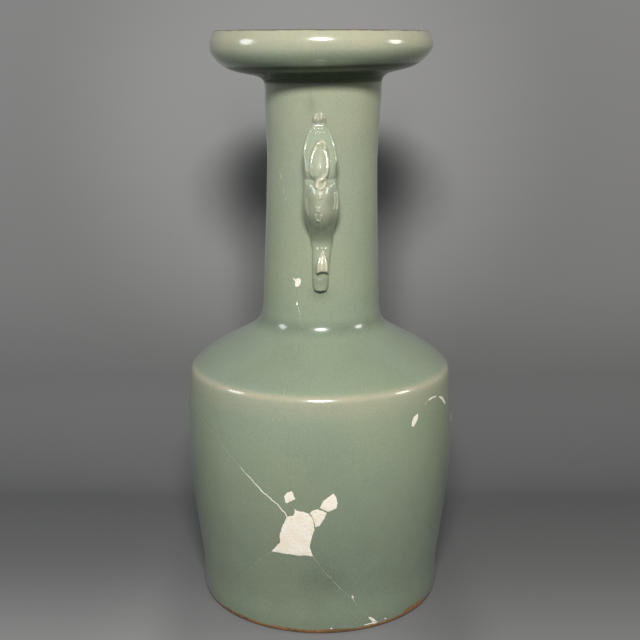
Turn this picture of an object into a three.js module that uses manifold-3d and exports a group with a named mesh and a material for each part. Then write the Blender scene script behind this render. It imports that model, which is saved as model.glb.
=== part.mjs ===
// A celadon mallet vase: dish mouth, straight neck with two bird handles, sloping shoulder and a tall body
// on an unglazed foot. The vase was broken and mended, so its body wall is three glued sherds, and white
// filler fills the losses. Millimetres, +Z up, origin at the middle of the foot's resting plane. One handle
// is at -Y, which is the vase's front, and the other at +Y.
import * as THREE from "three";
import { mergeVertices } from "three/addons/utils/BufferGeometryUtils.js";
import Module from "manifold-3d";

const wasm = await Module();
wasm.setup();

// Heights, each piece by itself
const FOOT_RING_HEIGHT = 2.4;
const BODY_WALL_HEIGHT = 114.8;
const SHOULDER_RISE = 29.0;
const NECK_LENGTH = 111.0;
const DISH_HEIGHT = 22.8;

// Outer radii
const FOOT_RADIUS = 59.2;
const FOOT_RING_TOP_RADIUS = 60.0;
const BODY_LOW_RADIUS = 60.6;
const BODY_MIDDLE_RADIUS = 64.2;
const BELLY_RADIUS = 66.5;
const BODY_HIGH_RADIUS = 66.1;
const RIDGE_RADIUS = 64.5;
const SHOULDER_HIGH_RADIUS = 50.0;
const SHOULDER_LOW_RADIUS = 33.0;
const NECK_ROOT_RADIUS = 28.95;
const NECK_LOW_RADIUS = 28.35;
const NECK_MIDDLE_RADIUS = 27.1;
const NECK_WAIST_RADIUS = 26.65;
const NECK_HIGH_RADIUS = 27.6;
const DISH_ROOT_RADIUS = 28.2;
const DISH_FLARE_RADIUS = 30.5;
const DISH_UNDER_RADIUS = 40.2;
const DISH_CORNER_RADIUS = 48.8;
const DISH_RADIUS = 52.5;

// Where the outlines turn, above each piece's lower edge
const BODY_LOW_TURN = 15.5;
const BODY_MIDDLE_TURN = 43.0;
const BELLY_TURN = 76.9;
const BODY_HIGH_TURN = 98.1;
const RIDGE_TURN = 2.5;
const SHOULDER_HIGH_TURN = 11.8;
const SHOULDER_LOW_TURN = 21.3;
const NECK_LOW_TURN = 13.8;
const NECK_MIDDLE_TURN = 50.0;
const NECK_WAIST_TURN = 76.0;
const NECK_HIGH_TURN = 96.0;
const DISH_FLARE_TURN = 2.8;
const DISH_UNDER_TURN = 5.8;
const DISH_CORNER_TURN = 10.3;
const DISH_LIP_DEPTH = 6.3;

// Walls
const FOOT_RING_WIDTH = 7.5;
const BODY_WALL = 6.0;
const SHOULDER_WALL = 5.4;
const NECK_WALL = 5.0;
const DISH_WALL = 4.6;
const DISH_CORNER_WALL = 3.2; // measured both inwards and upwards from the corner of the outline
const LIP_ROUND = 2.1;
const LIP_LEAN = 0.6; // how far the dish's side leans in from its widest place up to the lip

// Base slab, let into the body wall above the foot's hollow
const BASE_HOLLOW = 3.6;
const BASE_THICKNESS = 6.5;

// Clearance between pieces that were glued, luted or filled, and the depth of the shallow fills
const GLUE_GAP = 0.3;
const CHIP_DEPTH = 1.4;

const ROUND_SEGMENTS = 48;
const FACET_MERGE = 0.01; // edges that a cut leaves shorter than this are closed up
const HANDLE_RING = 14;

const FOOT_TOP = FOOT_RING_HEIGHT;
const RIDGE_LEVEL = FOOT_TOP + BODY_WALL_HEIGHT;
const NECK_ROOT_LEVEL = RIDGE_LEVEL + SHOULDER_RISE;
const NECK_TOP_LEVEL = NECK_ROOT_LEVEL + NECK_LENGTH;
const LIP_LEVEL = NECK_TOP_LEVEL + DISH_HEIGHT;
const BASE_LEVEL = FOOT_TOP + BASE_HOLLOW;
const BASE_TOP = BASE_LEVEL + BASE_THICKNESS;
const BASE_RADIUS = BODY_LOW_RADIUS - BODY_WALL - GLUE_GAP;
const FOOT_HOLLOW_RADIUS = FOOT_RADIUS - FOOT_RING_WIDTH;

// Finishes
const glaze = new THREE.MeshStandardMaterial({ color: 0x8fa48a, roughness: 0.12, metalness: 0 });
const paleGlaze = new THREE.MeshStandardMaterial({ color: 0xa9b59a, roughness: 0.1, metalness: 0 });
const bareClay = new THREE.MeshStandardMaterial({ color: 0x7a4a24, roughness: 0.85, metalness: 0 });
const filler = new THREE.MeshStandardMaterial({ color: 0xe6e2d2, roughness: 0.9, metalness: 0 });

// Points of a smooth curve through the given radius and height pairs. Centripetal, so that it doesn't swing
// past a point where a short step follows a long one.
function smooth(points, steps) {
  const stations = points.map(([r, z]) => new THREE.Vector3(r, z, 0));
  const curve = new THREE.CatmullRomCurve3(stations, false, "centripetal");
  return curve.getPoints(steps).map((point) => new THREE.Vector2(point.x, point.y));
}

// A solid from loose corners and the faces that join them, whichever way the faces were listed.
function solidFromFaces(vertices, index) {
  const geometry = new THREE.BufferGeometry();
  geometry.setAttribute("position", new THREE.Float32BufferAttribute(vertices, 3));
  geometry.setIndex(index);
  const solid = solidFrom(geometry);
  if (solid.volume() > 0) return solid;
  for (let i = 0; i < index.length; i += 3) [index[i], index[i + 1]] = [index[i + 1], index[i]];
  geometry.setIndex(index);
  return solidFrom(geometry);
}

function solidFrom(geometry) {
  const bare = geometry.clone();
  bare.deleteAttribute("normal");
  bare.deleteAttribute("uv");
  const merged = mergeVertices(bare, 1e-4);
  return new wasm.Manifold(
    new wasm.Mesh({
      numProp: 3,
      vertProperties: merged.attributes.position.array,
      triVerts: new Uint32Array(merged.index.array),
    }),
  );
}

// A closed outline turned about the axis.
function turned(outline) {
  const geometry = new THREE.LatheGeometry([...outline, outline[0]], ROUND_SEGMENTS);
  geometry.rotateX(Math.PI / 2);
  return solidFrom(geometry);
}

// A shell from its outer and inner outlines, both from low to high.
function shell(outer, inner) {
  return turned([...outer, ...[...inner].reverse()]);
}

function piece(name, solid, material) {
  const { vertProperties, triVerts, numProp } = solid.simplify(FACET_MERGE).getMesh();
  const positions = new Float32Array((vertProperties.length / numProp) * 3);
  for (let i = 0; i < positions.length / 3; i++) {
    for (let k = 0; k < 3; k++) positions[3 * i + k] = vertProperties[numProp * i + k];
  }
  const geometry = new THREE.BufferGeometry();
  geometry.setAttribute("position", new THREE.BufferAttribute(positions, 3));
  geometry.setIndex(new THREE.BufferAttribute(new Uint32Array(triVerts), 1));
  geometry.computeVertexNormals();
  const mesh = new THREE.Mesh(geometry, material);
  mesh.name = name;
  return mesh;
}

// Outlines, each from low to high
const bodyOutline = smooth(
  [
    [FOOT_RING_TOP_RADIUS, FOOT_TOP],
    [BODY_LOW_RADIUS, FOOT_TOP + BODY_LOW_TURN],
    [BODY_MIDDLE_RADIUS, FOOT_TOP + BODY_MIDDLE_TURN],
    [BELLY_RADIUS, FOOT_TOP + BELLY_TURN],
    [BODY_HIGH_RADIUS, FOOT_TOP + BODY_HIGH_TURN],
    [RIDGE_RADIUS, RIDGE_LEVEL],
  ],
  10,
);
const bodyInside = smooth(
  [
    [BODY_LOW_RADIUS - BODY_WALL, BASE_LEVEL],
    [BODY_MIDDLE_RADIUS - BODY_WALL, FOOT_TOP + BODY_MIDDLE_TURN],
    [BELLY_RADIUS - BODY_WALL, FOOT_TOP + BELLY_TURN],
    [BODY_HIGH_RADIUS - BODY_WALL, FOOT_TOP + BODY_HIGH_TURN],
    [RIDGE_RADIUS - BODY_WALL, RIDGE_LEVEL],
  ],
  8,
);
const shoulderOutline = smooth(
  [
    [RIDGE_RADIUS, RIDGE_LEVEL],
    [RIDGE_RADIUS - RIDGE_TURN, RIDGE_LEVEL + RIDGE_TURN],
    [SHOULDER_HIGH_RADIUS, RIDGE_LEVEL + SHOULDER_HIGH_TURN],
    [SHOULDER_LOW_RADIUS, RIDGE_LEVEL + SHOULDER_LOW_TURN],
    [NECK_ROOT_RADIUS, NECK_ROOT_LEVEL],
  ],
  10,
);
const shoulderInside = smooth(
  [
    [RIDGE_RADIUS - BODY_WALL, RIDGE_LEVEL],
    [SHOULDER_HIGH_RADIUS - SHOULDER_WALL / 2, RIDGE_LEVEL + SHOULDER_HIGH_TURN - SHOULDER_WALL],
    [SHOULDER_LOW_RADIUS - SHOULDER_WALL / 2, RIDGE_LEVEL + SHOULDER_LOW_TURN - SHOULDER_WALL],
    [NECK_ROOT_RADIUS - NECK_WALL, NECK_ROOT_LEVEL],
  ],
  6,
);
const neckOutline = smooth(
  [
    [NECK_ROOT_RADIUS, NECK_ROOT_LEVEL],
    [NECK_LOW_RADIUS, NECK_ROOT_LEVEL + NECK_LOW_TURN],
    [NECK_MIDDLE_RADIUS, NECK_ROOT_LEVEL + NECK_MIDDLE_TURN],
    [NECK_WAIST_RADIUS, NECK_ROOT_LEVEL + NECK_WAIST_TURN],
    [NECK_HIGH_RADIUS, NECK_ROOT_LEVEL + NECK_HIGH_TURN],
    [DISH_ROOT_RADIUS, NECK_TOP_LEVEL],
  ],
  8,
);
const neckInside = smooth(
  [
    [NECK_ROOT_RADIUS - NECK_WALL, NECK_ROOT_LEVEL],
    [NECK_MIDDLE_RADIUS - NECK_WALL, NECK_ROOT_LEVEL + NECK_MIDDLE_TURN],
    [NECK_WAIST_RADIUS - NECK_WALL, NECK_ROOT_LEVEL + NECK_WAIST_TURN],
    [DISH_ROOT_RADIUS - NECK_WALL, NECK_TOP_LEVEL],
  ],
  5,
);
const dishOutline = smooth(
  [
    [DISH_ROOT_RADIUS, NECK_TOP_LEVEL],
    [DISH_FLARE_RADIUS, NECK_TOP_LEVEL + DISH_FLARE_TURN],
    [DISH_UNDER_RADIUS, NECK_TOP_LEVEL + DISH_UNDER_TURN],
    [DISH_CORNER_RADIUS, NECK_TOP_LEVEL + DISH_CORNER_TURN],
    [DISH_RADIUS, LIP_LEVEL - DISH_LIP_DEPTH],
  ],
  12,
);
const dishInside = smooth(
  [
    [DISH_ROOT_RADIUS - NECK_WALL, NECK_TOP_LEVEL],
    [DISH_FLARE_RADIUS - NECK_WALL, NECK_TOP_LEVEL + DISH_FLARE_TURN + DISH_WALL / 2],
    [DISH_UNDER_RADIUS - DISH_WALL / 2, NECK_TOP_LEVEL + DISH_UNDER_TURN + DISH_WALL],
    [DISH_CORNER_RADIUS - DISH_CORNER_WALL, NECK_TOP_LEVEL + DISH_CORNER_TURN + DISH_CORNER_WALL],
    [DISH_RADIUS - DISH_WALL, LIP_LEVEL - DISH_LIP_DEPTH],
  ],
  8,
);
const lip = new THREE.EllipseCurve(
  DISH_RADIUS - LIP_LEAN - DISH_WALL / 2,
  LIP_LEVEL - LIP_ROUND,
  DISH_WALL / 2,
  LIP_ROUND,
  0,
  Math.PI,
).getPoints(6);

// Outlines on the unrolled wall: millimetres round the wall from the front, to the viewer's right, and
// height. The distance round is measured at the radius where the outline lies.
const mainLoss = [
  [-24.4, 43.5], [-20.5, 42.4], [-11.4, 42.5], [-3.7, 42.2], [-5.2, 47.7], [-3.4, 57.0],
  [-4.5, 63.0], [-6.4, 65.1], [-11.4, 66.6], [-12.8, 63.7], [-15.3, 62.2], [-17.4, 59.0],
  [-19.8, 52.0], [-20.1, 47.6],
];
const lowerLobe = [
  [-4.0, 63.6], [-2.9, 58.2], [-1.7, 58.0], [2.1, 62.0], [2.9, 64.6], [-0.3, 67.0], [-3.5, 66.0],
];
const upperLobe = [[-0.2, 67.7], [3.5, 65.5], [7.5, 68.1], [7.9, 72.0], [5.5, 74.3], [1.2, 70.4]];
const upperLoss = [
  [-16.6, 69.9], [-15.3, 69.0], [-13.7, 70.4], [-11.4, 71.8], [-12.4, 72.8], [-12.8, 75.6],
  [-16.2, 73.8],
];

// Breaks in the body wall, each from the losses outwards
const leftBreak = [
  [-15.5, 60.5], [-23.2, 70.5], [-30.2, 76.0], [-44.4, 88.4], [-60.4, 98.5], [-77.6, 104.5],
  [-104.0, 113.0], [-112.0, 125.0],
];
const upperBreak = [[-13.0, 61.5], [-13.6, 72.0], [-15.2, 86.0], [-14.6, 101.0], [-17.0, 125.0]];
const rightBreak = [[-8.0, 46.5], [0.6, 36.0], [9.3, 26.0], [16.8, 18.6], [27.2, 6.3], [33.0, -4.0]];
const lowBreak = [[-22.0, 44.8], [-29.0, 38.8], [-34.2, 34.4], [-44.0, 26.2], [-62.0, 10.8], [-78.0, -4.0]];

// Shallow chips in the body's glaze
const leafChip = [[46.6, 101.6], [48.6, 102.4], [50.8, 105.4], [50.6, 106.9], [48.6, 106.0], [46.9, 103.8]];
const arcChip = [[56.0, 110.4], [60.4, 111.5], [67.9, 111.2], [73.5, 108.8], [78.0, 105.6]];
const edgeChip = [[96.2, 90.2], [97.7, 91.0], [98.3, 93.0], [97.2, 94.4], [95.9, 92.4]];
const footChip = [[26.4, 7.1], [29.0, 5.2], [31.2, 3.4]];
const ARC_WIDTH = 1.0;
const FOOT_CHIP_WIDTH = 1.3;

// Shallow chips in the neck's glaze, measured round the neck's own low radius
const neckChip = [
  [-13.4, 163.6], [-12.4, 162.6], [-10.7, 163.2], [-10.3, 165.2], [-11.2, 167.2], [-13.0, 166.8],
];
const neckPinhole = [[-12.3, 153.6], [-11.4, 153.2], [-11.0, 154.5], [-11.5, 155.7], [-12.4, 155.0]];

// Stations down a handle: distance out from the neck's waist, height, half width and half depth
const handleStations = [
  [-2.0, 240.2, 2.6, 3.0],
  [2.2, 239.6, 3.0, 3.4],
  [5.0, 233.4, 5.6, 3.3],
  [8.6, 225.6, 7.5, 4.6],
  [10.9, 215.6, 7.2, 5.3],
  [11.6, 205.4, 8.1, 5.6],
  [9.0, 198.0, 7.6, 5.0],
  [5.2, 192.8, 6.5, 3.9],
  [2.6, 188.4, 5.5, 2.9],
  [1.6, 184.2, 4.9, 2.3],
  [2.0, 178.4, 4.3, 2.6],
  [2.4, 173.4, 4.1, 2.9],
  [1.4, 168.0, 3.8, 2.2],
  [0.9, 163.4, 3.1, 1.8],
  [0.8, 161.2, 1.9, 1.3],
];
const HANDLE_STEPS = 26;
const HANDLE_CREST = 0.16; // how far the outer ridge stands up, as a share of the half depth

// An outline moved outwards by a distance, square to each edge.
function grown(outline, distance) {
  const count = outline.length;
  const points = outline.map(([x, y]) => new THREE.Vector2(x, y));
  const turn = THREE.ShapeUtils.isClockWise(points) ? -1 : 1;
  return points.map((point, i) => {
    const before = point.clone().sub(points[(i + count - 1) % count]).normalize();
    const after = points[(i + 1) % count].clone().sub(point).normalize();
    const outward = new THREE.Vector2(before.y + after.y, -before.x - after.x).multiplyScalar(turn);
    outward.normalize();
    const mitre = Math.max(0.5, Math.cos(before.angleTo(after) / 2));
    return [point.x + (outward.x * distance) / mitre, point.y + (outward.y * distance) / mitre];
  });
}

// A plug through the wall: an outline on the unrolled wall, carried from one radius out to another.
function plug(outline, wallRadius, innerRadius, outerRadius) {
  const points = outline.map(([x, y]) => new THREE.Vector2(x, y));
  if (THREE.ShapeUtils.isClockWise(points)) points.reverse();
  const faces = THREE.ShapeUtils.triangulateShape(points, []);
  const count = points.length;
  const corners = [innerRadius, outerRadius].map((radius) =>
    points.map(({ x, y }) => {
      const turn = x / wallRadius;
      return [radius * Math.sin(turn), -radius * Math.cos(turn), y];
    }),
  );
  const vertices = corners.flat(2);
  const index = [];
  for (const [a, b, c] of faces) {
    index.push(c, b, a, a + count, b + count, c + count);
  }
  for (let i = 0; i < count; i++) {
    const next = (i + 1) % count;
    index.push(i, next, next + count, i, next + count, i + count);
  }
  return solidFromFaces(vertices, index);
}

const WALL_REACH = 12; // how far a through plug runs past the wall on each side
function bodyPlug(outline) {
  return plug(outline, BELLY_RADIUS, BODY_LOW_RADIUS - BODY_WALL - WALL_REACH, BELLY_RADIUS + WALL_REACH);
}
function neckPlug(outline) {
  return plug(outline, NECK_LOW_RADIUS, NECK_WAIST_RADIUS - WALL_REACH, NECK_LOW_RADIUS + WALL_REACH);
}

// A strip along a path on the unrolled wall, as a closed outline.
function strip(path, width) {
  const points = path.map(([x, y]) => new THREE.Vector2(x, y));
  const sides = points.map((point, i) => {
    const before = points[Math.max(0, i - 1)];
    const after = points[Math.min(points.length - 1, i + 1)];
    const along = after.clone().sub(before).normalize();
    return new THREE.Vector2(-along.y, along.x).multiplyScalar(width / 2);
  });
  const left = points.map((point, i) => [point.x + sides[i].x, point.y + sides[i].y]);
  const right = points.map((point, i) => [point.x - sides[i].x, point.y - sides[i].y]);
  return [...left, ...right.reverse()];
}

// A thin blade along a path, square to the wall and through it. Both of its sides are split the same way,
// so they stay the glue gap apart.
function blade(path) {
  const [inner, outer] = [BODY_LOW_RADIUS - BODY_WALL - WALL_REACH, BELLY_RADIUS + WALL_REACH];
  const sides = strip(path, GLUE_GAP);
  const count = path.length;
  const at = ([x, y], radius) => {
    const turn = x / BELLY_RADIUS;
    return [radius * Math.sin(turn), -radius * Math.cos(turn), y];
  };
  const vertices = [];
  for (let i = 0; i < count; i++) {
    const [left, right] = [sides[i], sides[2 * count - 1 - i]];
    vertices.push(...at(left, inner), ...at(left, outer), ...at(right, outer), ...at(right, inner));
  }
  const index = [0, 2, 1, 0, 3, 2];
  for (let i = 0; i < count - 1; i++) {
    const [a, b] = [4 * i, 4 * i + 4];
    index.push(a, b + 1, b, a, a + 1, b + 1);
    index.push(a + 1, b + 2, b + 1, a + 1, a + 2, b + 2);
    index.push(a + 2, a + 3, b + 2, a + 3, b + 3, b + 2);
    index.push(a + 3, b, b + 3, a + 3, a, b);
  }
  const end = 4 * (count - 1);
  index.push(end, end + 1, end + 2, end, end + 2, end + 3);
  return solidFromFaces(vertices, index);
}

// A filled loss: the plug takes the wall's own shape inside the outline, and the wall keeps the glue gap.
function fill(wall, outline, prism) {
  const socket = prism(grown(outline, GLUE_GAP), GLUE_GAP);
  return { plug: wall.intersect(prism(outline, 0)), wall: wall.subtract(socket) };
}

// A wall's outline moved outwards by a distance, along the radius.
function moved(outline, distance) {
  return outline.map((point) => new THREE.Vector2(point.x + distance, point.y));
}

// A plug that only reaches the chips' depth into a wall. Its floor runs along the wall's outer face.
function shallow(throughPlug, face) {
  return (outline, gap) => {
    const skin = shell(moved(face, WALL_REACH), moved(face, -CHIP_DEPTH - gap));
    return throughPlug(outline).intersect(skin);
  };
}

// Body wall with its losses, then its breaks
let bodyWall = shell(bodyOutline, [
  new THREE.Vector2(FOOT_HOLLOW_RADIUS, FOOT_TOP),
  new THREE.Vector2(FOOT_HOLLOW_RADIUS, BASE_LEVEL),
  ...bodyInside,
]);
const bodyFills = {};
for (const [name, outline] of Object.entries({
  fill_body_main: mainLoss,
  fill_body_lobe_lower: lowerLobe,
  fill_body_lobe_upper: upperLobe,
  fill_body_small: upperLoss,
})) {
  const made = fill(bodyWall, outline, bodyPlug);
  bodyFills[name] = made.plug;
  bodyWall = made.wall;
}
for (const [name, outline] of Object.entries({
  fill_body_leaf: leafChip,
  fill_body_arc: strip(arcChip, ARC_WIDTH),
  fill_right_edge: edgeChip,
  fill_foot_chip: strip(footChip, FOOT_CHIP_WIDTH),
})) {
  const made = fill(bodyWall, outline, shallow(bodyPlug, bodyOutline));
  bodyFills[name] = made.plug;
  bodyWall = made.wall;
}
for (const path of [leftBreak, upperBreak, rightBreak, lowBreak]) {
  bodyWall = bodyWall.subtract(blade(path));
}
const sherds = bodyWall.decompose().sort((a, b) => b.volume() - a.volume());
const middleHeight = (solid) => (solid.boundingBox().min[2] + solid.boundingBox().max[2]) / 2;
const [mainSherd, ...smallSherds] = sherds.slice(0, 3);
const [lowSherd, highSherd] = smallSherds.sort((a, b) => middleHeight(a) - middleHeight(b));

// Base slab and foot ring
const baseSlab = turned([
  new THREE.Vector2(0, BASE_LEVEL),
  new THREE.Vector2(BASE_RADIUS, BASE_LEVEL),
  new THREE.Vector2(BASE_RADIUS, BASE_TOP - LIP_ROUND),
  new THREE.Vector2(BASE_RADIUS - LIP_ROUND, BASE_TOP),
  new THREE.Vector2(0, BASE_TOP),
]);
const footRing = turned([
  new THREE.Vector2(FOOT_HOLLOW_RADIUS, 0),
  new THREE.Vector2(FOOT_RADIUS, 0),
  new THREE.Vector2(FOOT_RING_TOP_RADIUS, FOOT_TOP / 2),
  new THREE.Vector2(FOOT_RING_TOP_RADIUS, FOOT_TOP),
  new THREE.Vector2(FOOT_HOLLOW_RADIUS, FOOT_TOP),
]);

// Neck with its two shallow fills
const neckFills = {};
let neckWall = shell(neckOutline, neckInside);
for (const [name, outline] of Object.entries({
  fill_neck_chip: neckChip,
  fill_neck_pinhole: neckPinhole,
})) {
  const made = fill(neckWall, outline, shallow(neckPlug, neckOutline));
  neckFills[name] = made.plug;
  neckWall = made.wall;
}

// One handle at the front: rings square to its path, cut to sit on the neck
function handle() {
  const path = new THREE.CatmullRomCurve3(
    handleStations.map(([out, height]) => new THREE.Vector3(0, -NECK_WAIST_RADIUS - out, height)),
    false,
    "centripetal",
  );
  const widths = new THREE.CatmullRomCurve3(
    handleStations.map(([, , width, depth]) => new THREE.Vector3(width, depth, 0)),
    false,
    "centripetal",
  );
  const last = HANDLE_STEPS;
  const vertices = [];
  for (let i = 0; i <= last; i++) {
    const centre = path.getPoint(i / last);
    const along = path.getTangent(i / last);
    const size = widths.getPoint(i / last);
    const out = new THREE.Vector3(0, along.z, -along.y);
    for (let k = 0; k < HANDLE_RING; k++) {
      const turn = (2 * Math.PI * k) / HANDLE_RING;
      const crest = 1 + HANDLE_CREST * Math.max(0, Math.sin(turn)) ** 4;
      const point = centre.clone().addScaledVector(out, size.y * crest * Math.sin(turn));
      vertices.push(size.x * Math.cos(turn), point.y, point.z);
    }
  }
  const index = [];
  for (let i = 0; i < last; i++) {
    for (let k = 0; k < HANDLE_RING; k++) {
      const [a, b] = [i * HANDLE_RING + k, i * HANDLE_RING + ((k + 1) % HANDLE_RING)];
      index.push(a, b, b + HANDLE_RING, a, b + HANDLE_RING, a + HANDLE_RING);
    }
  }
  for (let k = 1; k < HANDLE_RING - 1; k++) {
    index.push(0, k + 1, k);
    index.push(last * HANDLE_RING, last * HANDLE_RING + k, last * HANDLE_RING + k + 1);
  }
  const solid = solidFromFaces(vertices, index);
  const seat = neckOutline.map((point) => new THREE.Vector2(point.x + GLUE_GAP, point.y));
  const [low, high] = [new THREE.Vector2(0, seat[0].y), new THREE.Vector2(0, seat.at(-1).y)];
  return solid.subtract(turned([low, ...seat, high]));
}
const handleFront = handle();

const vase = new THREE.Group();
vase.add(piece("mouth_dish", shell([...dishOutline, ...lip], dishInside), paleGlaze));
vase.add(piece("neck", neckWall, glaze));
vase.add(piece("shoulder", shell(shoulderOutline, shoulderInside), glaze));
vase.add(piece("body_wall", mainSherd, glaze));
vase.add(piece("body_sherd_upper_left", highSherd, glaze));
vase.add(piece("body_sherd_lower_front", lowSherd, glaze));
vase.add(piece("base_slab", baseSlab, glaze));
vase.add(piece("foot_ring", footRing, bareClay));
vase.add(piece("handle_front", handleFront, paleGlaze));
vase.add(piece("handle_back", handleFront.rotate([0, 0, 180]), paleGlaze));
for (const [name, solid] of Object.entries({ ...bodyFills, ...neckFills })) {
  vase.add(piece(name, solid, filler));
}
export default vase;
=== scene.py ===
"""A mended celadon mallet vase, dressed for its picture.

Shapes are worked out in millimetres and put into the meshes in metres. +Z is up, the vase is turned about
the Z axis and the front handle is at -Y. Each wall is laid out flat first, on a plan of millimetres round
the wall from the front and millimetres up its outer outline. Breaks, losses and hairlines are drawn on that
plan, which is then rolled up at the wall's own radii.
"""
import math

import bpy
import numpy as np
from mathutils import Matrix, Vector
from mathutils.geometry import delaunay_2d_cdt


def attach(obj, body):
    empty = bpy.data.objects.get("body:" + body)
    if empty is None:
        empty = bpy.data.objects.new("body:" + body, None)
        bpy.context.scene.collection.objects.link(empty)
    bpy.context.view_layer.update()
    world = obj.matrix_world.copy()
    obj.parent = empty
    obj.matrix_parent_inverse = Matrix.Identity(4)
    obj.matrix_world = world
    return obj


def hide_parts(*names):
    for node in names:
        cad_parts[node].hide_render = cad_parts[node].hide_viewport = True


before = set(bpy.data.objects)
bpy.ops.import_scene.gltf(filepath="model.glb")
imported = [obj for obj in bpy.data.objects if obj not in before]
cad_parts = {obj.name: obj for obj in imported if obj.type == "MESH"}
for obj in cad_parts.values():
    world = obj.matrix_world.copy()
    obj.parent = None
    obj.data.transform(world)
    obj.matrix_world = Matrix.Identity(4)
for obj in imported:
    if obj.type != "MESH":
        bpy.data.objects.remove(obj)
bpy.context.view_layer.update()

MM = 0.001

# Heights of the joins between the pieces
FOOT_TOP = 2.4
RIDGE = 117.2
NECK_ROOT = 146.2
NECK_TOP = 257.2

# The outer outline from the foot to the dish's side, and the inner outlines: radius and height
OUTSIDE = [
    (60.0, 2.4), (60.3, 6.4), (60.6, 17.9), (62.7, 35.0), (65.3, 57.4), (66.46, 79.3), (66.1, 100.5),
    (65.35, 110.0), (64.8, 116.0), (64.0, 118.5), (62.1, 120.7), (57.4, 124.4), (50.0, 129.1),
    (40.6, 134.0), (33.0, 138.8), (30.4, 142.2), (29.4, 144.8), (28.85, 148.0), (28.6, 152.5),
    (28.2, 164.0), (27.1, 198.0), (26.65, 222.0), (27.3, 238.0), (27.75, 250.0), (27.95, 255.6),
    (28.5, 258.2), (30.6, 260.1), (35.3, 261.4), (40.6, 262.6), (45.5, 264.6), (49.3, 267.5),
    (51.5, 270.1), (52.35, 271.9), (52.55, 273.4),
]
BODY_INSIDE = [(54.6, 6.0), (58.2, 45.4), (60.5, 79.3), (58.5, 117.2)]
SHOULDER_INSIDE = [(58.5, 117.2), (47.3, 123.6), (30.3, 133.1), (23.95, 146.2)]
NECK_INSIDE = [(23.95, 146.2), (22.1, 196.2), (21.65, 222.2), (23.2, 257.2)]
LIP = [
    (52.55, 273.4), (52.52, 274.5), (52.37, 275.6), (52.08, 276.6), (51.68, 277.6), (51.3, 278.5),
    (50.95, 279.2), (50.5, 279.75), (49.6, 279.95), (48.4, 279.3), (47.8, 278.1), (47.6, 276.0),
]
DISH_INSIDE = [
    (47.6, 276.0), (47.2, 273.6), (45.6, 270.7), (42.6, 268.8), (37.9, 267.4), (30.5, 265.0), (25.9, 262.0),
    (23.8, 259.6), (23.2, 257.2),
]

# The radius at which each wall's plan is measured round
BODY_ROUND = 66.5
SHOULDER_ROUND = 48.0
NECK_ROUND = 28.35

# Through losses in the body, filled: millimetres round and height
MAIN_LOSS = [
    (-11.9, 66.9), (-10.4, 65.8), (-7.6, 65.5), (-5.2, 64.7), (-3.7, 62.6), (-2.8, 59.6), (-2.7, 56.4),
    (-4.2, 51.2), (-4.9, 47.4), (-4.4, 45.1), (-3.3, 42.2), (-6.8, 42.7), (-9.9, 42.3), (-14.0, 42.6),
    (-19.2, 42.8), (-24.4, 43.0), (-22.2, 45.4), (-19.5, 48.6), (-19.5, 52.9), (-17.9, 57.4),
    (-16.3, 60.9), (-14.9, 62.7), (-12.7, 63.3), (-11.7, 64.9),
]
LOWER_LOBE = [
    (-4.9, 65.0), (-3.3, 66.3), (-1.1, 67.1), (1.4, 66.2), (3.0, 65.1), (2.2, 62.4), (0.9, 60.3),
    (-0.4, 58.4), (-2.2, 57.8), (-2.6, 60.0), (-3.45, 62.8),
]
UPPER_LOBE = [
    (-0.2, 67.5), (0.6, 69.2), (1.5, 71.0), (4.1, 73.4), (6.3, 74.8), (6.8, 73.7), (7.5, 72.9), (8.1, 70.1),
    (7.6, 67.3), (5.9, 66.4), (4.4, 65.7), (3.2, 65.9), (1.5, 66.9),
]
SMALL_LOSS = [
    (-16.7, 72.5), (-15.3, 74.7), (-13.2, 75.6), (-12.5, 74.8), (-12.1, 73.2), (-11.2, 71.7),
    (-13.3, 70.7), (-15.3, 69.3), (-16.3, 69.5), (-16.3, 70.9),
]
# Shallow chips, filled
LEAF_CHIP = [
    (46.5, 101.8), (46.8, 103.9), (48.2, 105.8), (51.2, 107.0), (50.9, 104.7), (49.4, 102.7), (47.9, 101.3),
]
ARC_CHIP = [
    [(59.4, 111.2), (61.0, 111.8), (63.0, 112.0), (67.2, 111.5), (66.9, 110.9), (63.0, 111.3), (60.2, 110.9)],
    [(70.2, 110.3), (72.6, 109.9), (75.4, 108.3), (77.6, 106.2), (78.5, 104.6), (77.4, 104.4),
     (75.6, 105.9), (73.6, 107.9), (71.0, 109.3)],
]
EDGE_CHIP = [(93.9, 90.2), (95.4, 91.0), (96.0, 93.0), (94.9, 94.4), (93.6, 92.4)]
FOOT_CHIP = [(26.2, 6.9), (27.7, 6.6), (29.6, 5.3), (31.4, 3.5), (30.0, 3.6), (28.2, 4.6), (26.9, 5.8)]
NECK_CHIP = [
    (-14.3, 166.9), (-13.5, 166.4), (-12.6, 165.9), (-11.8, 166.7), (-10.6, 166.9), (-9.9, 165.8),
    (-10.1, 164.4), (-10.9, 163.0), (-12.0, 162.5), (-12.9, 162.9), (-12.9, 164.0), (-12.7, 164.9),
    (-13.6, 165.7),
]
NECK_PINHOLE = [(-11.9, 155.3), (-11.3, 155.0), (-11.2, 154.2), (-11.6, 153.5), (-12.2, 154.1)]

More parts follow.
